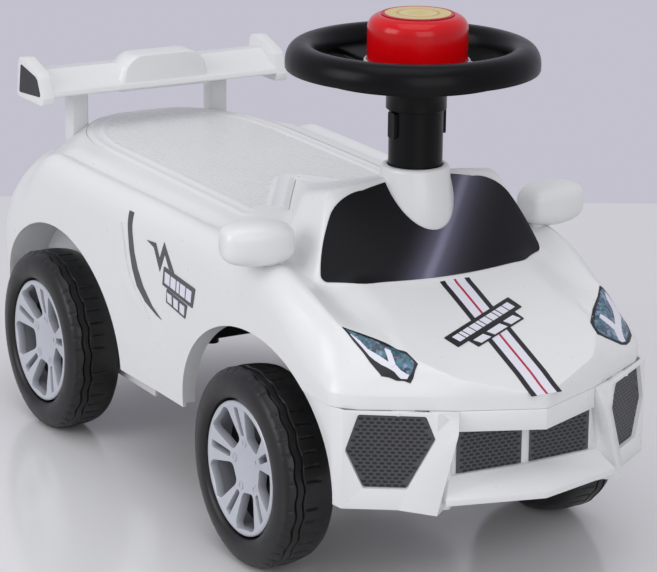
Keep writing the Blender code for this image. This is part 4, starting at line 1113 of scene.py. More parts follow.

# %% [markdown]
# ## Windscreen
# The real windscreen is no opening: it is a black film on the cowl's front, with its corners rounded.
# A soft lighter band of painted reflection runs across it. A sheet is laid on the cowl by the same formulas
# as the body, a hair above it, so it follows the surface everywhere. The painted reflection is a smooth,
# leaning band in the film's base colour that reads the Object coordinates.

# %% Windscreen film
film_screen, tree, shader, place = new_finish("screen_film", 0.40)
shader.inputs["Specular IOR Level"].default_value = 0.22
reflection_lean = 1.04  # the band moves this far across for every unit of height
reflection_half, reflection_level = 0.10, 0.2205  # half the ramp's width, and the height at which it is centred
across = add_node(tree, "ShaderNodeSeparateXYZ", {}, {"Vector": place})
leaning = add_node(tree, "ShaderNodeMath", {1: -reflection_lean}, {0: across.outputs["Z"]}, operation="MULTIPLY")
shifted = add_node(tree, "ShaderNodeMath", {}, {0: across.outputs["X"], 1: leaning.outputs[0]},
                   operation="ADD")
reach = add_node(tree, "ShaderNodeMapRange", {
    "From Min": -reflection_half - reflection_level * reflection_lean, "From Max": reflection_half - reflection_level * reflection_lean},
    {"Value": shifted.outputs[0]})
# Painted reflection: a lighter band in the film's base colour stands in for the reflection across the screen.
painted_reflection = add_node(tree, "ShaderNodeValToRGB", {}, {"Fac": reach.outputs["Result"]})
painted_reflection.color_ramp.interpolation = "B_SPLINE"
for at, code in ((0.22, "#0E0E10"), (0.30, "#19191C"), (0.38, "#545265"), (0.41, "#8A889F"),
                 (0.44, "#545264"), (0.52, "#2C2B31"), (0.60, "#1B1B1F"), (0.68, "#0D0D0F")):
    painted_reflection.color_ramp.elements.new(at).color = linear(code)
painted_reflection.color_ramp.elements[0].color = linear("#0E0E10")
painted_reflection.color_ramp.elements[-1].color = linear("#0B0B0D")
tree.links.new(painted_reflection.outputs["Color"], shader.inputs["Base Color"])
cloud = add_node(tree, "ShaderNodeTexNoise", {"Scale": per_metre(30), "Detail": 3.0}, {"Vector": place})
gloss = add_node(tree, "ShaderNodeMapRange", {"To Min": 0.38, "To Max": 0.46},
                 {"Value": cloud.outputs["Fac"]})
tree.links.new(gloss.outputs["Result"], shader.inputs["Roughness"])
print("sheen stops:", len(painted_reflection.color_ramp.elements))

# %% Windscreen sheet
screen_low, screen_corner = 0.2184, 0.2752
collar_room = 0.0281


def screen_y_at(x, z):
    """Where the cowl's front reaches the height z."""
    near, far = -0.0640, 0.0005
    for _ in range(24):
        y = (near + far) / 2
        near, far = (y, far) if top_height(x, y) < z else (near, y)
    return near


def screen_edge(t):
    """Half the film's width at a share of its height, with rounded corners."""
    half = 0.0945 - 0.0138 * t - 0.0142 * t * t
    for corner_t, radius_t, radius_x in ((0.0, 0.08, 0.0045), (1.0, 0.27, 0.0190)):
        near = abs(t - corner_t) / radius_t
        if near < 1.0:
            half -= radius_x * (1 - math.sqrt(1 - (1 - near) ** 2))
    return half


def screen_place(x, share, t):
    """(x, z) on the film at a share of its height. Its upper and lower edges are bowed a little."""
    return x, screen_low + (screen_corner - screen_low) * t + (0.0060 * t - 0.0005) * (1 - share**2)


half_line = []
for k in range(15):
    x = collar_room * math.sin(math.pi / 2 * k / 14)
    front = (1 + collar_reach) * math.sqrt(max(collar_room**2 - x**2, 0.0))
    half_line.append((x, min(top_height(x, steer_y - front), screen_place(x, x / screen_edge(1.0), 1.0)[1])))
top_half, low_half = screen_edge(1.0), screen_edge(0.0)
half_line += [screen_place(top_half * s, s, 1.0) for s in np.linspace(collar_room / top_half + 0.02, 1.0, 6)]
down = [0.5 + 0.5 * math.cos(math.pi * k / 30) for k in range(1, 30)]
half_line += [screen_place(screen_edge(t), 1.0, t) for t in down]
half_line += [screen_place(low_half * s, s, 0.0) for s in np.linspace(1.0, 0.0, 14)]
outline = half_line + [(-x, z) for x, z in half_line[-2:0:-1]]


def on_screen(x, z, lift):
    return on_top(x, screen_y_at(x, z), lift)


screen = film_piece("windscreen_film", outline, on_screen, film_screen, 0.0008)
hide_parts("windscreen_panel")

# %% [markdown]
# ### Headlights
# A headlight sticker is a long leaf: a black ground, a teal print of lamp reflectors in small cells, and
# two white bands. The cells are a Voronoi pattern whose colours run from teal to violet.

# %% Reflector print
film_lamp, tree, shader, place = new_finish("reflector_print", 0.22)
shader.inputs["Coat Weight"].default_value = 0.4
cells = add_node(tree, "ShaderNodeTexVoronoi", {"Scale": per_metre(2.8)}, {"Vector": place})
split = add_node(tree, "ShaderNodeSeparateColor", {}, {"Color": cells.outputs["Color"]})
cloud = add_node(tree, "ShaderNodeTexNoise", {"Scale": per_metre(16), "Detail": 2.0}, {"Vector": place})
blend = add_node(tree, "ShaderNodeMix", {0: 0.55}, {2: split.outputs[0], 3: cloud.outputs["Fac"]})
shades = add_node(tree, "ShaderNodeValToRGB", {}, {"Fac": blend.outputs[0]})
for at, code in ((0.25, "#1B2038"), (0.42, "#214A60"), (0.55, "#2F6A7C"), (0.68, "#5F7893"),
                 (0.85, "#A4AFC6")):
    shades.color_ramp.elements.new(at).color = linear(code)
for k in (-1, 0):
    shades.color_ramp.elements.remove(shades.color_ramp.elements[k])
tree.links.new(shades.outputs["Color"], shader.inputs["Base Color"])

# %% Headlight films
# Outlines from above, drawn on the hood's right side as the near headlight shows them
ground = [(0.1096, -0.0868), (0.1005, -0.0953), (0.0875, -0.1105), (0.0785, -0.1239), (0.0775, -0.1299),
          (0.0760, -0.1354), (0.0793, -0.1373), (0.0821, -0.1394), (0.0846, -0.1399), (0.0880, -0.1369),
          (0.0924, -0.1341), (0.0962, -0.1304), (0.1005, -0.1272), (0.1016, -0.1226), (0.1034, -0.1166),
          (0.1046, -0.1098),
          (0.1071, -0.0990)]
teal = [(0.1087, -0.0889), (0.1014, -0.0985), (0.0950, -0.1056), (0.0891, -0.1133), (0.0836, -0.1186),
        (0.0800, -0.1258), (0.0780, -0.1340), (0.0816, -0.1369), (0.0850, -0.1374), (0.0904, -0.1327),
        (0.0941, -0.1267), (0.0995, -0.1176), (0.1020, -0.1115), (0.1050, -0.0995), (0.1074, -0.0924)]
long_band = [(0.1076, -0.0926), (0.1050, -0.0982), (0.1032, -0.1023), (0.1014, -0.1091), (0.0982, -0.1141),
             (0.0953, -0.1188), (0.0923, -0.1237), (0.0896, -0.1278), (0.0879, -0.1319), (0.0850, -0.1358),
             (0.0837, -0.1368), (0.0858, -0.1375), (0.0896, -0.1350), (0.0907, -0.1331), (0.0920, -0.1303),
             (0.0947, -0.1266), (0.0973, -0.1223), (0.1002, -0.1176), (0.1021, -0.1134), (0.1034, -0.1082),
             (0.1047, -0.1030), (0.1061, -0.0978)]
short_band = [(0.0913, -0.1149), (0.0883, -0.1180), (0.0884, -0.1212), (0.0890, -0.1252), (0.0896, -0.1283),
              (0.0930, -0.1274), (0.0925, -0.1236), (0.0920, -0.1207)]
# the left headlight sits further round the shoulder, so its outlines are drawn for themselves
ground_far = [(0.1098, -0.0868), (0.1127, -0.0896), (0.1165, -0.0927), (0.1203, -0.0985), (0.1215, -0.1060),
              (0.1190, -0.1165), (0.1114, -0.1250), (0.1057, -0.1288), (0.0985, -0.1319), (0.0907, -0.1339),
              (0.0823, -0.1357), (0.0741, -0.1363), (0.0749, -0.1299), (0.0762, -0.1242), (0.0828, -0.1160),
              (0.0878, -0.1101), (0.1007, -0.0976)]
teal_far = [(0.1098, -0.0892), (0.1114, -0.0912), (0.1145, -0.0942), (0.1180, -0.0996), (0.1190, -0.1060),
            (0.1168, -0.1152), (0.1058, -0.1278), (0.0992, -0.1306), (0.0913, -0.1327), (0.0830, -0.1345),
            (0.0765, -0.1340), (0.0769, -0.1287), (0.0809, -0.1223), (0.0884, -0.1130), (0.0943, -0.1066),
            (0.1018, -0.0985), (0.1073, -0.0918)]
long_far = [(0.1105, -0.0915), (0.1128, -0.0925), (0.1160, -0.0958), (0.1178, -0.1002), (0.1155, -0.1065),
            (0.1101, -0.1145), (0.1058, -0.1218), (0.1043, -0.1259), (0.1050, -0.1278), (0.1004, -0.1302),
            (0.0968, -0.1308), (0.0964, -0.1284), (0.0963, -0.1249), (0.0956, -0.1242), (0.1007, -0.1203),
            (0.1047, -0.1136), (0.1082, -0.1062), (0.1087, -0.1018), (0.1085, -0.0975)]
short_far = [(0.0905, -0.1159), (0.0932, -0.1171), (0.0972, -0.1183), (0.1014, -0.1196), (0.1005, -0.1217),
             (0.0957, -0.1257), (0.0948, -0.1248), (0.0926, -0.1227), (0.0893, -0.1209), (0.0874, -0.1191)]
lamp_layers = (("ground", film_black, 0.0003), ("reflector", film_lamp, 0.0005), ("band", film_white, 0.0007),
               ("arm", film_white, 0.0009))
lamps = {"right": (ground, teal, long_band, short_band), "left": (ground_far, teal_far, long_far, short_far)}
for side, word in sides:
    for (part, finish, lift), outline in zip(lamp_layers, lamps[word]):
        flat = [(side * x, y) for x, y in outline]
        film_piece(f"headlight_{part}_{word}", rounded(flat, 0.0003, 2), on_shell, finish, lift)
print("headlight layers:", len(lamp_layers))

# %% [markdown]
# ### Hood stripes and plates
# Two black stripes and a thin red one run over a lilac-white film. The plate across them carries plain
# slanted blocks, as wide as the real print's letters but with no letters in them.

# %% Stripes
stripe_front_y, stripe_rear_y = -0.1833, -0.0605


def strip(x_from, x_to):
    """A straight stripe along the hood."""
    return [(x_from, stripe_front_y), (x_to, stripe_front_y), (x_to, stripe_rear_y), (x_from, stripe_rear_y)]


film_piece("hood_film", strip(-0.0085, 0.0085), on_top, film_white, 0.0002)
film_piece("hood_line", strip(-0.0009, 0.0009), on_top, film_red, 0.0004)
for side, word in sides:
    film_piece(f"hood_stripe_{word}", strip(*span(side, 0.0083, 0.0125)), on_top, film_black, 0.0003)
print("stripes:", round((stripe_rear_y - stripe_front_y) * 1000), "mm long")

# %% Plates with bars
bars_share = 0.86  # of the plate's length


def on_plate_at(corners, u, v):
    """A place on a four-cornered plate: u along it, v from its first edge to the opposite one."""
    a, b, c, d = (Vector(p) for p in corners)
    return tuple(a.lerp(b, u).lerp(d.lerp(c, u), v))


def plate_bars(name, corners, widths, lay, low, high):
    """Slanted bars of the given widths in a row on a plate, as generic print with no letters in it."""
    gap = 0.42 * min(widths)
    unit = bars_share / (sum(widths) + gap * (len(widths) - 1))
    start, tip = (1 - bars_share) / 2, 0.10 * unit * min(widths)
    for k, width in enumerate(widths):
        end = start + unit * width
        line = [(start - tip, low), (end - tip, low), (end + tip, high), (start + tip, high)]
        film_piece(f"{name}_{k}", [on_plate_at(corners, u, v) for u, v in line], lay, film_white, 0.0009)
        start = end + unit * gap


plate_one = [(-0.0432, -0.1163), (0.0293, -0.0867), (0.0338, -0.0983), (-0.0380, -0.1273)]
plate_two = [(-0.0267, -0.1226), (0.0251, -0.1016), (0.0282, -0.1101), (-0.0228, -0.1301)]
film_piece("hood_plate_long", rounded(plate_one, 0.0005, 2), on_top, film_black, 0.0006)
film_piece("hood_plate_short", rounded(plate_two, 0.0005, 2), on_top, film_black, 0.0005)
plate_bars("hood_bar", plate_one, (2, 1, 2, 2, 1, 2, 2, 1, 2, 2), on_top, 0.26, 0.78)
plate_bars("hood_bar_low", plate_two, (3, 4, 3), on_top, 0.24, 0.86)

# %% [markdown]
# ### Side stickers
# Each side carries a long curved swoosh, a zigzag and two small plates. The left side mirrors the right one.

# %% Side stickers
swoosh_front = [(0.2018, 0.2197), (0.2010, 0.2054), (0.1979, 0.1888), (0.1927, 0.1765), (0.1841, 0.1644)]
swoosh_front += [(0.1695, 0.1521), (0.1544, 0.1452)]
swoosh_rear = [(0.1630, 0.1465), (0.1816, 0.1527), (0.1950, 0.1622), (0.2022, 0.1753), (0.2061, 0.1893)]
swoosh_rear += [(0.2078, 0.2038), (0.2095, 0.2197)]
zigzag = [(0.1761, 0.2041), (0.1608, 0.2053), (0.1547, 0.1944), (0.1466, 0.2094), (0.1304, 0.1890),
          (0.1388, 0.1899)]
zigzag += [(0.1458, 0.2002), (0.1548, 0.1840), (0.1642, 0.2009)]
side_plate = [(0.1472, 0.1901), (0.0951, 0.1854), (0.1005, 0.1690), (0.1504, 0.1747)]
low_plate = [(0.1433, 0.1732), (0.1091, 0.1688), (0.1133, 0.1571), (0.1450, 0.1620)]
crescent = [(0.2182, 0.2085), (0.2238, 0.2000), (0.2262, 0.1917), (0.2272, 0.1825), (0.2262, 0.1730),
            (0.2215, 0.1652)]
crescent += [(0.2141, 0.1579), (0.2050, 0.1524), (0.1946, 0.1474), (0.1740, 0.1414), (0.1842, 0.1500),
             (0.1960, 0.1578)]
crescent += [(0.2050, 0.1680), (0.2108, 0.1800), (0.2135, 0.1920)]


def on_left(y, z, lift):
    """A place on the car's left side."""
    return on_side(y, z, lift) * Vector((-1, 1, 1))


for lay, word in ((on_side, "right"), (on_left, "left")):
    film_piece(f"side_swoosh_{word}", swoosh_front + swoosh_rear, lay, film_grey, 0.0004)
    film_piece(f"side_zigzag_{word}", zigzag, lay, film_grey, 0.0004)
    film_piece(f"side_plate_{word}", rounded(side_plate, 0.0006, 2), lay, film_grey, 0.0006)
    film_piece(f"side_plate_low_{word}", rounded(low_plate, 0.0006, 2), lay, film_grey, 0.0005)
    plate_bars(f"side_bar_{word}", side_plate, (2, 2, 1, 2, 2), lay, 0.22, 0.80)
    plate_bars(f"side_bar_low_{word}", low_plate, (2, 2, 2), lay, 0.20, 0.82)
    film_piece(f"side_crescent_{word}", crescent, lay, white_shell, 0.0014)

# %% [markdown]
# ## Mirrors
# The mirrors are closed hollow mouldings in the shape of rounded boxes. A stub below each one is pressed
# into the body. Rings of a superellipse, which lies between an ellipse and a box, give the rounded form.

# %% Mirror housings
mirror_x, mirror_y, mirror_z = 0.127, 0.006, 0.243
mirror_half = (0.0267, 0.0175, 0.0163)
end_power, ring_power = 0.42, 0.66  # how boxy the housing is along and across: 1 is an ellipsoid
for side, word in sides:
    rings = []
    for i in range(1, 24):
        a = math.pi * i / 24 - math.pi / 2
        radius = math.cos(a) ** end_power
        row = []
        for j in range(40):
            b = 2 * math.pi * j / 40
            c, d = (radius * math.copysign(abs(v) ** ring_power, v) for v in (math.cos(b), math.sin(b)))
            row.append((side * mirror_x + mirror_half[0] * math.sin(a), mirror_y + mirror_half[1] * c,
                        mirror_z + mirror_half[2] * d))
        rings.append(row)
    housing = skin(rings)
    centre = (side * mirror_x, mirror_y, mirror_z)
    sweep = Matrix.Rotation(side * math.radians(12), 3, "Z")
    bmesh.ops.rotate(housing, verts=housing.verts, cent=centre, matrix=sweep)
    foot = []
    for z, step, rx, ry in ((0.2215, 0.0, 0.0078, 0.0062), (0.2235, 0.0, 0.0070, 0.0056),
                            (0.231, 0.0015, 0.0075, 0.006), (0.238, 0.004, 0.009, 0.007)):
        x, y = side * (stem_x + step), stem_y + step * 0.75
        turns = [math.pi * k / 16 for k in range(32)]
        foot.append([(x + rx * math.cos(b), y + ry * math.sin(b), z) for b in turns])
    add_piece(f"mirror_housing_{word}", joined([housing, skin(foot)]), white_shell, "chassis",
              [f"mirror_{word}"], smooth=60)

# %% [markdown]
# ## Rear wing
# The wing is one moulding: a slanted blade, a raised pad in its middle and an end plate at each side. It
# stands on two posts that plug into the deck. Outlines are swept across the car and bevelled. The end plates
# carry a black sticker.

# %% Wing and posts
bar_section = [(0.402, 0.268), (0.404, 0.273), (0.430, 0.287), (0.456, 0.284), (0.456, 0.2789),
               (0.430, 0.273)]
blade = prism(rounded(bar_section, 0.0012, 4), "X", -0.107, 0.107)
pad_line = [(-0.0450, 0.267), (-0.0395, 0.2870), (-0.0300, 0.2962), (0.0300, 0.2962), (0.0395, 0.2870),
            (0.0450, 0.267)]
pad_line = rounded(pad_line, [0.0, 0.012, 0.016, 0.016, 0.012, 0.0], 7)
pad = skin([[(x * (1 - t), y, z - 0.0045 * t) for x, z in pad_line]
            for y, t in ((0.4060, 0.10), (0.4085, 0.03), (0.4115, 0.0), (0.4300, 0.0), (0.4325, 0.06))])
plate_line = [(0.4560, 0.262), (0.4520, 0.2915), (0.4485, 0.2962), (0.4400, 0.2965), (0.4140, 0.2885),
              (0.4090, 0.2850)]
plate_line += [(0.4015, 0.2685), (0.4020, 0.2620)]
wing = make_object("wing_moulding", blade, [white_shell])
shapes = [pad]
for side in (-1, 1):
    shapes.append(prism(rounded(plate_line, 0.003, 4), "X", *span(side, 0.106, 0.116)))
combine(wing, "UNION", shapes)
soften(wing, 0.0018, 3, 40)
finish_piece(wing, "chassis", ["rear_wing"], smooth=50)

# %% Posts and stickers
for side, word in sides:
    rear_y = post_front_y + post_depth
    tops_z = [0.273 + 0.0059 * (y - 0.430) / 0.026 - 0.0004 for y in (post_front_y, rear_y)]
    near, far = span(side, post_inner_x, post_inner_x + post_width)
    flat = [(near, post_front_y), (far, post_front_y), (far, rear_y), (near, rear_y)]
    line = rounded(flat, 0.0018, 3)
    low = [(x, y, post_bottom) for x, y in line]
    high = [(x, y, tops_z[0] + (tops_z[1] - tops_z[0]) * (y - post_front_y) / post_depth) for x, y in line]
    add_piece(f"wing_foot_{word}", skin([low, high]), white_shell, "chassis", [f"wing_post_{word}"])
    sticker = [(0.447, 0.2905), (0.417, 0.2850), (0.4130, 0.2825), (0.4065, 0.2690), (0.4510, 0.2655)]

    def on_plate(y, z, lift, side=side):
        return Vector((side * (0.1159 + lift), y, z))

    film_piece(f"wing_sticker_{word}", rounded(sticker, 0.002, 3), on_plate, film_black, 0.0002, cell=0.05)

# %% [markdown]
# ## Storage tub
# Below the seat hangs an open tub in black plastic, with a flange that lies on the body's ledge. It is a
# tapered wall of even thickness with two feet on its floor.

# %% Tub
def tub_line(shrink, steps=48):
    """The tub from above: a narrower copy of the seat's outline, without the notch."""
    half, front = 0.072 - shrink, 0.2015 + shrink
    points = front_corner(half, front)
    points += round_end(half, 0.425 - shrink - seat_round_y, steps)
    return points + [(-x, y) for x, y in reversed(points[:-1])]


tub_bottom, flange_low = 0.1045, 0.2265
outer = [(0.0060, tub_bottom), (0.0036, tub_bottom + 0.0008), (0.0030, tub_bottom + 0.0028),
         (0.0, flange_low + 0.001)]
inner = [(0.0025, flange_low + 0.0008), (0.0055, tub_bottom + 0.0060), (0.0075, tub_bottom + 0.0028),
         (0.0095, tub_bottom + 0.0025)]
walls = skin([[(x, y, z) for x, y in tub_line(shrink)] for shrink, z in outer + inner])
flange = make_object("flange", prism(seat_outline(-0.0005), "Z", flange_low, flange_low + 0.0017),
                     [black_grained])
hinge_side = hinge_half + 0.004
combine(flange, "DIFFERENCE", [
    prism(tub_line(0.0012), "Z", 0.20, 0.24),
    block((-hinge_side, seat_rear_y - 0.008, 0.21), (hinge_side, 0.48, 0.25))])
feet = [disc(0.006, tub_bottom - 0.004, tub_bottom + 0.001, (side * 0.056, 0.2135, 0),
             steps=24) for side in (-1, 1)]
add_piece("tub_moulding", joined([walls, shape_of(flange)] + feet), black_grained, "chassis", ["storage_tub"])

# %% [markdown]
# ## Tyres
# The tyres are blow-moulded in hard black plastic. Their tread is two wavy grooves round the middle and a row
# of blocks along each shoulder. One profile is turned about the axle in fine steps, and a function of the
# angle shifts the grooves sideways and lowers the sipes between the blocks.

# %% Tyre profile
wheel_radius, wheel_outer_x, wheel_width = 0.075, 0.147, 0.045
hub_radius, hub_face, beam_half = 0.0521, 0.1245, 0.0972
wheel_inner_x = wheel_outer_x - wheel_width
block_count, steps_round = 44, 352
wave_count, wave_height, sipe_share = 22, 0.0008, 0.125
sipe_depth = {"block": 0.0011, "side": 0.0004}


def tread_profile():
    """(radius, x, kind) points from the hub over the sidewall and tread and back on the inside."""
    points = [(0.00525, hub_face, ""), (hub_radius + 0.0004, hub_face, ""), (hub_radius + 0.0004, 0.1436, "")]
    points += [(hub_radius + 0.0010, 0.1448, ""), (hub_radius + 0.0026, 0.1460, ""), (0.0562, 0.1468, "")]
    points += [(0.0595, wheel_outer_x, ""), (0.0630, 0.1468, ""), (0.0660, 0.1462, ""), (0.0685, 0.1453, "")]
    points += [(0.0704, 0.1445, "side"), (0.0720, 0.1433, "side"), (0.0731, 0.1418, "block"),
               (0.0739, 0.1402, "block")]
    points += [(0.0743, 0.1390, "edge")]
    groove_depth = {0.1375: 0.0016, 0.1315: 0.0016}
    for x in (0.1384, 0.1375, 0.1366, 0.1355, 0.1345, 0.1335, 0.1324, 0.1315, 0.1306):
        points.append((0.0747 - groove_depth.get(x, 0.0), x, "wave"))
    points += [(0.0749, 0.1299, "edge"), (wheel_radius, 0.1288, "block"), (wheel_radius, 0.1255, "block")]
    points += [(0.0749, 0.1220, "block"), (0.0746, 0.1185, "block"), (0.0744, 0.1168, "edge"),
               (0.0741, 0.1150, "")]
    points += [(0.0735, 0.1115, ""), (0.0722, 0.1075, ""), (0.0700, 0.1044, ""), (0.0665, wheel_inner_x, "")]
    points += [(0.0630, wheel_inner_x, "")]
    points += [(0.0705, 0.1130, ""), (0.0705, 0.1360, ""), (0.0655, 0.1435, ""), (0.0547, 0.1435, "")]
    points += [(0.0547, hub_face - 0.0025, ""), (0.0130, hub_face - 0.0025, ""),
               (0.0110, beam_half + 0.0005, "")]
    return points + [(0.00525, beam_half + 0.0005, "")]


tyre_points = tread_profile()


def tread(r, h, angle, k, side):
    """Moves one point of the tread: waves on the grooves, sipes between the shoulder blocks."""
    kind = tyre_points[k][2]
    if kind == "wave":
        return r, h + side * wave_height * math.sin(wave_count * angle)
    share = (angle * block_count / (2 * math.pi)) % 1.0
    return r - (sipe_depth.get(kind, 0.0) if share < sipe_share else 0.0), h


front_place, rear_place = (0, 0, wheel_radius), (0, 0.3555, wheel_radius)
print("tyre points:", len(tyre_points))

# %% [markdown]
# ## Hub caps
# A silver cap clips over each wheel's web. Five arms run out from a flat middle disc, each one
# split by a slot that ends in a small boss, and between them lie deep rounded windows. The cap is a dished
# disc with the window shapes cut out of it. A bevel softens the edges, as spraying over moulded plastic does.

# %% A cap
cap_centre, cap_lip = 0.1378, 0.1443
cap_back = hub_face + 0.0045  # the cap is a dished wall, open behind its arms
arm_count, boss_reach = 5, 0.0185
front_turn, rear_turn = math.radians(152), math.radians(167.4)


def dish(r):
    """Depth of the cap's outer face at a radius."""
    return cap_centre + (cap_lip - 0.0006 - cap_centre) * ramp(0.010, 0.054, r)


cap_profile = [(0, cap_centre), (0.0128, cap_centre), (0.0145, cap_centre + 0.0004)]
cap_profile += [(r, dish(r)) for r in (0.019, 0.024, 0.029, 0.034, 0.039, 0.0435)]
cap_profile += [(0.0459, dish(0.0435) + 0.0004), (0.0476, cap_lip), (0.0494, cap_lip),
                (0.0505, cap_lip - 0.0009)]
cap_profile += [(0.0507, hub_face + 0.0003), (0.0490, hub_face + 0.0003), (0.0482, cap_lip - 0.0065)]
cap_profile += [(0.0380, cap_back + 0.0055), (0.0200, cap_back + 0.0025), (0.0108, cap_back),
                (0.0108, cap_centre - 0.0012)]
cap_profile += [(0, cap_centre - 0.0012)]


def leaf(near, far, inner_half, outer_half, radii):
    """A rounded wedge that points to the axle, as (radius, distance aside) points."""
    return rounded([(near, -inner_half), (far, -outer_half), (far, outer_half), (near, inner_half)], radii, 4)


def cap_windows(side, place, turned_by):
    """The shapes that cut an arm's slot and the window beside it, five times round the axle."""
    made = []
    low, high = span(side, hub_face - 0.004, cap_lip + 0.004)
    slot_shape = leaf(0.0235, 0.0456, 0.0024, 0.0032, 0.0016)
    window_shape = leaf(0.0195, 0.0460, 0.0080, 0.0160, [0.0052, 0.0042, 0.0042, 0.0052])
    for k in range(arm_count):
        middle = 2 * math.pi * k / arm_count + turned_by
        for turn, outline in ((0.0, slot_shape), (math.pi / arm_count, window_shape)):
            c, s = math.cos(middle + turn), math.sin(middle + turn)
            flat = [(place[1] + r * c - t * s, place[2] + r * s + t * c) for r, t in outline]
            made.append(prism(flat, "X", low, high))
    return made


def cap_bosses(side, place, turned_by):
    """A small round boss at the inner end of each slot."""
    made = []
    for k in range(arm_count):
        a = 2 * math.pi * k / arm_count + turned_by
        centre = (0, place[1] + boss_reach * math.cos(a), place[2] + boss_reach * math.sin(a))
        low, high = span(side, cap_back + 0.003, dish(boss_reach) + 0.0006)
        made.append(tube(0.0034, 0.0019, low, high, centre, "X", 24))
    return made


print("cap is", round((cap_lip - cap_centre) * 1000, 1), "mm deep in its middle")

# %% The four wheels
for side, word in sides:
    for end, place, phase in (("front", front_place, front_turn), ("rear", rear_place, rear_turn)):
        body = f"wheel_{end}_{word}"
        profile = [(r, side * x) for r, x, kind in tyre_points]
        shape = turned(profile, place, "X", steps_round,
                       lambda r, h, a, k, side=side: tread(r, h, a, k, side))
        add_piece(f"tyre_moulding_{end}_{word}", shape, tyre_plastic, body, [f"tyre_{end}_{word}"], smooth=32)
        dished = turned([(r, side * x) for r, x in cap_profile], place, "X", 120)
        cap = make_object(f"cap_moulding_{end}_{word}", dished, [cap_silver])
        combine(cap, "DIFFERENCE", cap_windows(side, place, phase))
        soften(cap, 0.0009, 2, 40)
        add_shapes(cap, cap_bosses(side, place, phase))
        finish_piece(cap, body, [f"hub_cap_{end}_{word}"], smooth=40)

# %% [markdown]
# ## Steering wheel and column
# The steering wheel is a domed black rim with three flat spokes and a sleeve that slides over the column.
# Two clips of the column snap into it. Turned profiles give the rim and the sleeve, and the spokes are lofted
# between them.

# %% Steering wheel
rim_radius, rim_bottom, rim_shift, rim_height = 0.0935, 0.3600, 0.006, 0.0190
sleeve_radius, sleeve_bottom = 0.0223, 0.331
hub_low, hub_high, column_top = 0.3555, 0.3605, 0.352
hub_profile = [(0, hub_high), (0.0392, hub_high), (0.0400, hub_high - 0.0008), (0.0400, hub_low + 0.0006)]
hub_profile += [(0.0394, hub_low), (0.0330, hub_low), (0.0290, 0.3528), (0.0262, 0.3496), (0.0244, 0.3464)]
hub_profile += [(0.0230, 0.3445), (sleeve_radius, 0.3435), (sleeve_radius, sleeve_bottom + 0.0005)]
hub_profile += [(sleeve_radius - 0.0005, sleeve_bottom), (0.0203, sleeve_bottom),
                (0.0203, column_top + 0.0003)]
hub_profile += [(0, column_top + 0.0003)]
rim_line = [(1.0, 0.0), (1.004, 0.04), (1.005, 0.22)]
rim_line += [(0.865 + 0.140 * math.cos(a) ** 0.85, 0.22 + 0.78 * math.sin(a) ** 0.95)
             for a in (math.pi / 2 * k / 12 for k in range(1, 12))]
rim_line += [(0.865, 1.0), (0.838, 0.985), (0.812, 0.93), (0.790, 0.84), (0.772, 0.70), (0.758, 0.52),
             (0.750, 0.30)]
rim_line += [(0.752, -0.32), (0.778, -0.32), (0.786, 0.45), (0.825, 0.72), (0.865, 0.84), (0.915, 0.70),
             (0.955, 0.42)]
rim_line += [(0.975, 0.0)]
rim_centre = (0, steer_y + rim_shift, rim_bottom)
rim = turned([(rim_radius * r / 1.005, rim_height * h) for r, h in rim_line], rim_centre, "Z", 160)
pieces = [turned(hub_profile, collar_centre, "Z", 96), rim]
spoke_start, spoke_half, spoke_flare = 0.0385, 0.0150, 0.0140
middle = Vector((0, steer_y, 0))


def blend(a, b, t):
    """From a to b, slow at both ends."""
    return a + (b - a) * ramp(0, 1, t)


for angle in (90, 210, 330):
    a = math.radians(angle)
    along, aside = Vector((math.cos(a), math.sin(a), 0)), Vector((-math.sin(a), math.cos(a), 0))
    reach = 0.770 * rim_radius + rim_shift * math.sin(a)
    rings = []
    for t in (0.0, 0.3, 0.7, 1.0):
        distance, half = spoke_start + (reach - spoke_start) * t, spoke_half + spoke_flare * t
        low = blend(hub_low + 0.0003, rim_bottom + 0.0015, t)
        high = blend(hub_high - 0.0003, rim_bottom + 0.0065, t)
        outline = rounded([(-half, low), (half, low), (half, high), (-half, high)], 0.0012, 3)
        rings.append([tuple(middle + along * distance + aside * s + Vector((0, 0, z))) for s, z in outline])
    pieces.append(skin(rings))
    boss = middle + along * 0.060
    pieces.append(disc(0.0038, rim_bottom - 0.0045, rim_bottom + 0.004, (boss.x, boss.y, 0), "Z", 24))
add_piece("wheel_moulding", joined(pieces), black_grained, "steering", ["steering_wheel"], smooth=40)

# %% Column with its clips
column_radius, column_floor = 0.020, 0.236
clip_back, clip_front, clip_low, clip_high = steer_y - 0.006, steer_y + 0.003, 0.311, 0.330
clip_line = [(clip_back, clip_low), (clip_front, clip_low), (clip_front, clip_high), (clip_back, clip_high)]
column_profile = [(0.0165, 0.242), (0.0063, 0.242), (0.0063, column_floor), (0.0196, column_floor)]
column_profile += [(column_radius, column_floor + 0.0004), (column_radius, column_top - 0.0004)]
column_profile += [(column_radius - 0.0004, column_top), (0.0165, column_top)]
shapes = [turned(column_profile, collar_centre, "Z", 96),
          tube(0.019, 0.0063, 0.317, 0.327, collar_centre, "Z", 48)]
for side in (-1, 1):
    shapes.append(prism(rounded(clip_line, 0.0012, 3), "X", *span(side, 0.0170, sleeve_radius - 0.0001)))
add_piece("column_moulding", joined(shapes), black_grained, "steering", ["steering_column"], smooth=40)

# %% [markdown]
# ## Horn
# A big red button sits on the steering wheel's hub, in a milky ring, and squeaks when it is pressed. Its
# label is a round sticker. The real picture is left out, and a generic red rim round a cream field takes its
# place.

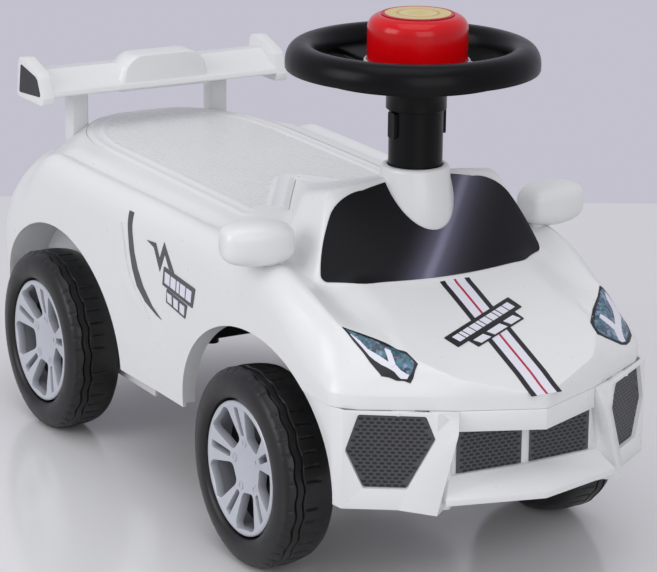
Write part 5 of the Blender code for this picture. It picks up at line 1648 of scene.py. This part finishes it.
# %% Horn button
horn_radius, horn_bottom, horn_height, label_radius = 0.0368, 0.3705, 0.030, 0.0268
horn_top = horn_bottom + horn_height
profile = [(horn_radius - 0.0004, 0.3642), (horn_radius, 0.3646)]
for i in range(13):
    a = math.pi / 2 * i / 12
    profile.append((horn_radius - 0.010 * (1 - math.cos(a)), horn_top - 0.010 * (1 - math.sin(a))))
profile += [(0, horn_top), (0, horn_top - 0.002), (0.026, horn_top - 0.002), (0.0328, horn_top - 0.0075)]
profile += [(0.0348, horn_top - 0.012), (0.0348, 0.3642)]
stem = tube(0.0065, 0.0045, 0.3840, horn_top - 0.0015, collar_centre, "Z", 32)
dome = joined([turned(profile, collar_centre, "Z", 128), stem])
add_piece("horn_dome", dome, horn_red, "horn", ["horn_button"], smooth=40)

# %% Horn label
label_print, tree, shader, place = new_finish("round_label_print", 0.42)
centre = add_node(tree, "ShaderNodeVectorMath", {1: (0, car_middle - steer_y, 0)}, {0: place},
                  operation="ADD")
flat = add_node(tree, "ShaderNodeVectorMath", {1: (1, 1, 0)}, {0: centre.outputs[0]}, operation="MULTIPLY")
reach = add_node(tree, "ShaderNodeVectorMath", {}, {0: flat.outputs[0]}, operation="LENGTH")
share_out = add_node(tree, "ShaderNodeMath", {1: label_radius}, {0: reach.outputs["Value"]},
                     operation="DIVIDE")
zones = add_node(tree, "ShaderNodeValToRGB", {}, {"Fac": share_out.outputs[0]})
zones.color_ramp.interpolation = "CONSTANT"
zones.color_ramp.elements[0].color = linear("#D9C27A")
zones.color_ramp.elements[1].position, zones.color_ramp.elements[1].color = 0.90, linear("#C2202A")
for at, code in ((0.30, "#DCCB92"), (0.52, "#C9A45A"), (0.60, "#D9C588")):
    zones.color_ramp.elements.new(at).color = linear(code)
specks = add_node(tree, "ShaderNodeTexNoise", {"Scale": per_metre(6), "Detail": 3.0}, {"Vector": place})
speckled = add_node(tree, "ShaderNodeMix", {0: 0.25}, {6: zones.outputs["Color"], 7: specks.outputs["Color"]},
                    data_type="RGBA", blend_type="MULTIPLY")
tree.links.new(speckled.outputs[2], shader.inputs["Base Color"])
label_low, label_high = horn_top + 0.0003, horn_top + 0.0009
label = turned([(0, label_low), (label_radius, label_low), (label_radius, label_high - 0.0002),
                (label_radius - 0.0002, label_high), (0, label_high)], collar_centre, "Z", 96)
add_piece("horn_sticker", label, label_print, "horn", ["horn_label"])
print("label:", round(label_radius * 2000, 1), "mm across")

# %% Milky ring
ring_profile = [(0.0373, 0.3608), (0.0390, 0.3608), (0.0390, 0.3668), (0.0387, 0.3673), (0.0382, 0.3675),
                (0.0373, 0.3675)]
add_piece("ring_moulding", turned(ring_profile, collar_centre, "Z", 128), milky, "steering", ["horn_ring"])

# %% [markdown]
# ### Horn spring
# A compression spring of six turns pushes the button back up. Its wire is swept along a helix, and it
# stands on the squeaker.

# %% Spring
spring_low, spring_high, spring_radius, wire_radius, spring_turns = 0.3693, 0.3982, 0.0095, 0.0008, 6
horn_stroke, steps_per_turn = 0.003, 32
steps = spring_turns * steps_per_turn
bends = [2 * math.pi * k / 10 for k in range(10)]
wire = [(spring_radius + wire_radius * math.cos(b), wire_radius * math.sin(b)) for b in bends]
rings = []
for i in range(steps + 1):
    a = 2 * math.pi * i / steps_per_turn
    z = spring_low + wire_radius + (spring_high - spring_low - 2 * wire_radius) * i / steps
    rings.append([(r * math.cos(a), steer_y + r * math.sin(a), z + h) for r, h in wire])
spring = add_piece("spring_coil", skin(rings), zinc, "steering", ["horn_spring"])
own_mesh(spring)

# %% [markdown]
# ## Small parts from the CAD model
# Axles, caps, pins, screws, the guide bush, the carriage and the squeaker keep their exact CAD form. They
# only get their finishes here, each from the material the real part is made of.

# %% Finishes of the small parts
kept = {
    zinc: ("front_axle", "rear_axle", "axle_cap_", "bumper_screw_", "carriage_pin", "column_pin",
           "steering_rod",
           "lid_hinge_pin"),
    black_grained: ("front_carriage", "sound_box"),
    milky: ("steering_bush",),
}
for finish, names in kept.items():
    chosen = [o for name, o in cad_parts.items() if name.startswith(names)]
    for node in chosen:
        node.data.materials.clear()
        node.data.materials.append(finish)
    print(finish.name, "on", len(chosen), "nodes")

# %% [markdown]
# ## Floor, light and camera
# The photograph was taken in a light tent: a pale floor and wall, one broad soft light from above and
# some fill from both sides. The camera stands where the photograph's camera stood, ahead of the car's right
# front corner and a little above it, worked out from the wheels' ellipses and the wheelbase.

# %% Floor and backdrop
floor_finish, tree, shader, place = new_finish("pale_glossy_floor", 0.16)
mottle = add_node(tree, "ShaderNodeTexNoise", {"Scale": 1.7, "Detail": 2.0}, {"Vector": place})
floor_tint = add_node(tree, "ShaderNodeMix", {6: linear("#E2E2E4"), 7: linear("#DCDCDF")},
                      {0: mottle.outputs["Fac"]}, data_type="RGBA")
tree.links.new(floor_tint.outputs[2], shader.inputs["Base Color"])
azimuth = math.radians(-29.87)  # the camera's, from straight ahead of the car
ahead = Vector((-math.sin(azimuth), math.cos(azimuth), 0))
level = Vector((math.cos(azimuth), math.sin(azimuth), 0))
far_edge, near_edge, half_floor = 0.872, -9.0, 8.0  # the floor ends behind the car, as in the photograph
bm = bmesh.new()
bm.faces.new([bm.verts.new(ahead * a + level * b) for a, b in (
    (near_edge, -half_floor), (near_edge, half_floor), (far_edge, half_floor), (far_edge, -half_floor))])
bmesh.ops.recalc_face_normals(bm, faces=bm.faces)
floor = make_object("floor", bm, [floor_finish])
print("floor ends", far_edge, "m behind the car's middle")

# %% World
world = bpy.data.worlds.new("studio")
bpy.context.scene.world = world
world.use_nodes = True
tree = world.node_tree
tree.nodes.clear()
ray = add_node(tree, "ShaderNodeLightPath")
lit = add_node(tree, "ShaderNodeBackground", {"Color": linear("#F4F4F7"), "Strength": 0.72})
seen = add_node(tree, "ShaderNodeBackground", {"Color": linear("#C3C1CE"), "Strength": 1.0})
direct = ray.outputs["Is Camera Ray"]
for kind in ("Is Glossy Ray", "Is Transmission Ray"):
    either = add_node(tree, "ShaderNodeMath", {}, {0: direct, 1: ray.outputs[kind]}, operation="MAXIMUM")
    direct = either.outputs[0]
mixed = add_node(tree, "ShaderNodeMixShader", {}, {0: direct, 1: lit.outputs[0], 2: seen.outputs[0]})
add_node(tree, "ShaderNodeOutputWorld", {}, {"Surface": mixed.outputs[0]})
print("world ready")

# %% Lamps
def soft_light(name, place, target, size, power):
    """A square white lamp that faces its target."""
    lamp = bpy.data.lights.new(name, "AREA")
    lamp.shape, lamp.size, lamp.energy = "SQUARE", size, power
    made = bpy.data.objects.new(name, lamp)
    bpy.context.scene.collection.objects.link(made)
    made.location = place
    made.rotation_euler = (Vector(target) - Vector(place)).to_track_quat("-Z", "Y").to_euler()
    print(name, "lamp:", power, "W")


soft_light("top", (-0.3, -0.4, 2.4), (0, 0, 0.1), 1.9, 12.0)
soft_light("front", (-0.6, -2.4, 1.0), (0, 0, 0.12), 1.6, 11.6)
soft_light("side", (-2.4, 0.1, 1.2), (0, 0, 0.12), 1.4, 19)

# %% Camera
camera_data = bpy.data.cameras.new("camera")
camera = bpy.data.objects.new("camera", camera_data)
bpy.context.scene.collection.objects.link(camera)
bpy.context.scene.camera = camera
elevation, roll = math.radians(16.27), math.radians(0.64)
shift_right, shift_up, distance, lens = -0.059, 0.187, 2.192, 157.45
back = ahead * -math.cos(elevation) + Vector((0, 0, math.sin(elevation)))
upright = back.cross(level)
right = level * math.cos(roll) + upright * math.sin(roll)
up = upright * math.cos(roll) - level * math.sin(roll)
place = right * shift_right + up * shift_up + back * distance - Vector((0, car_middle, 0))
turn = Matrix((right, up, back)).transposed().to_4x4()
camera.matrix_world = Matrix.Translation(place) @ turn
camera_data.sensor_width, camera_data.lens = 36.0, lens
bpy.context.scene.view_settings.view_transform = "Standard"
print("camera at", [round(v, 3) for v in place])
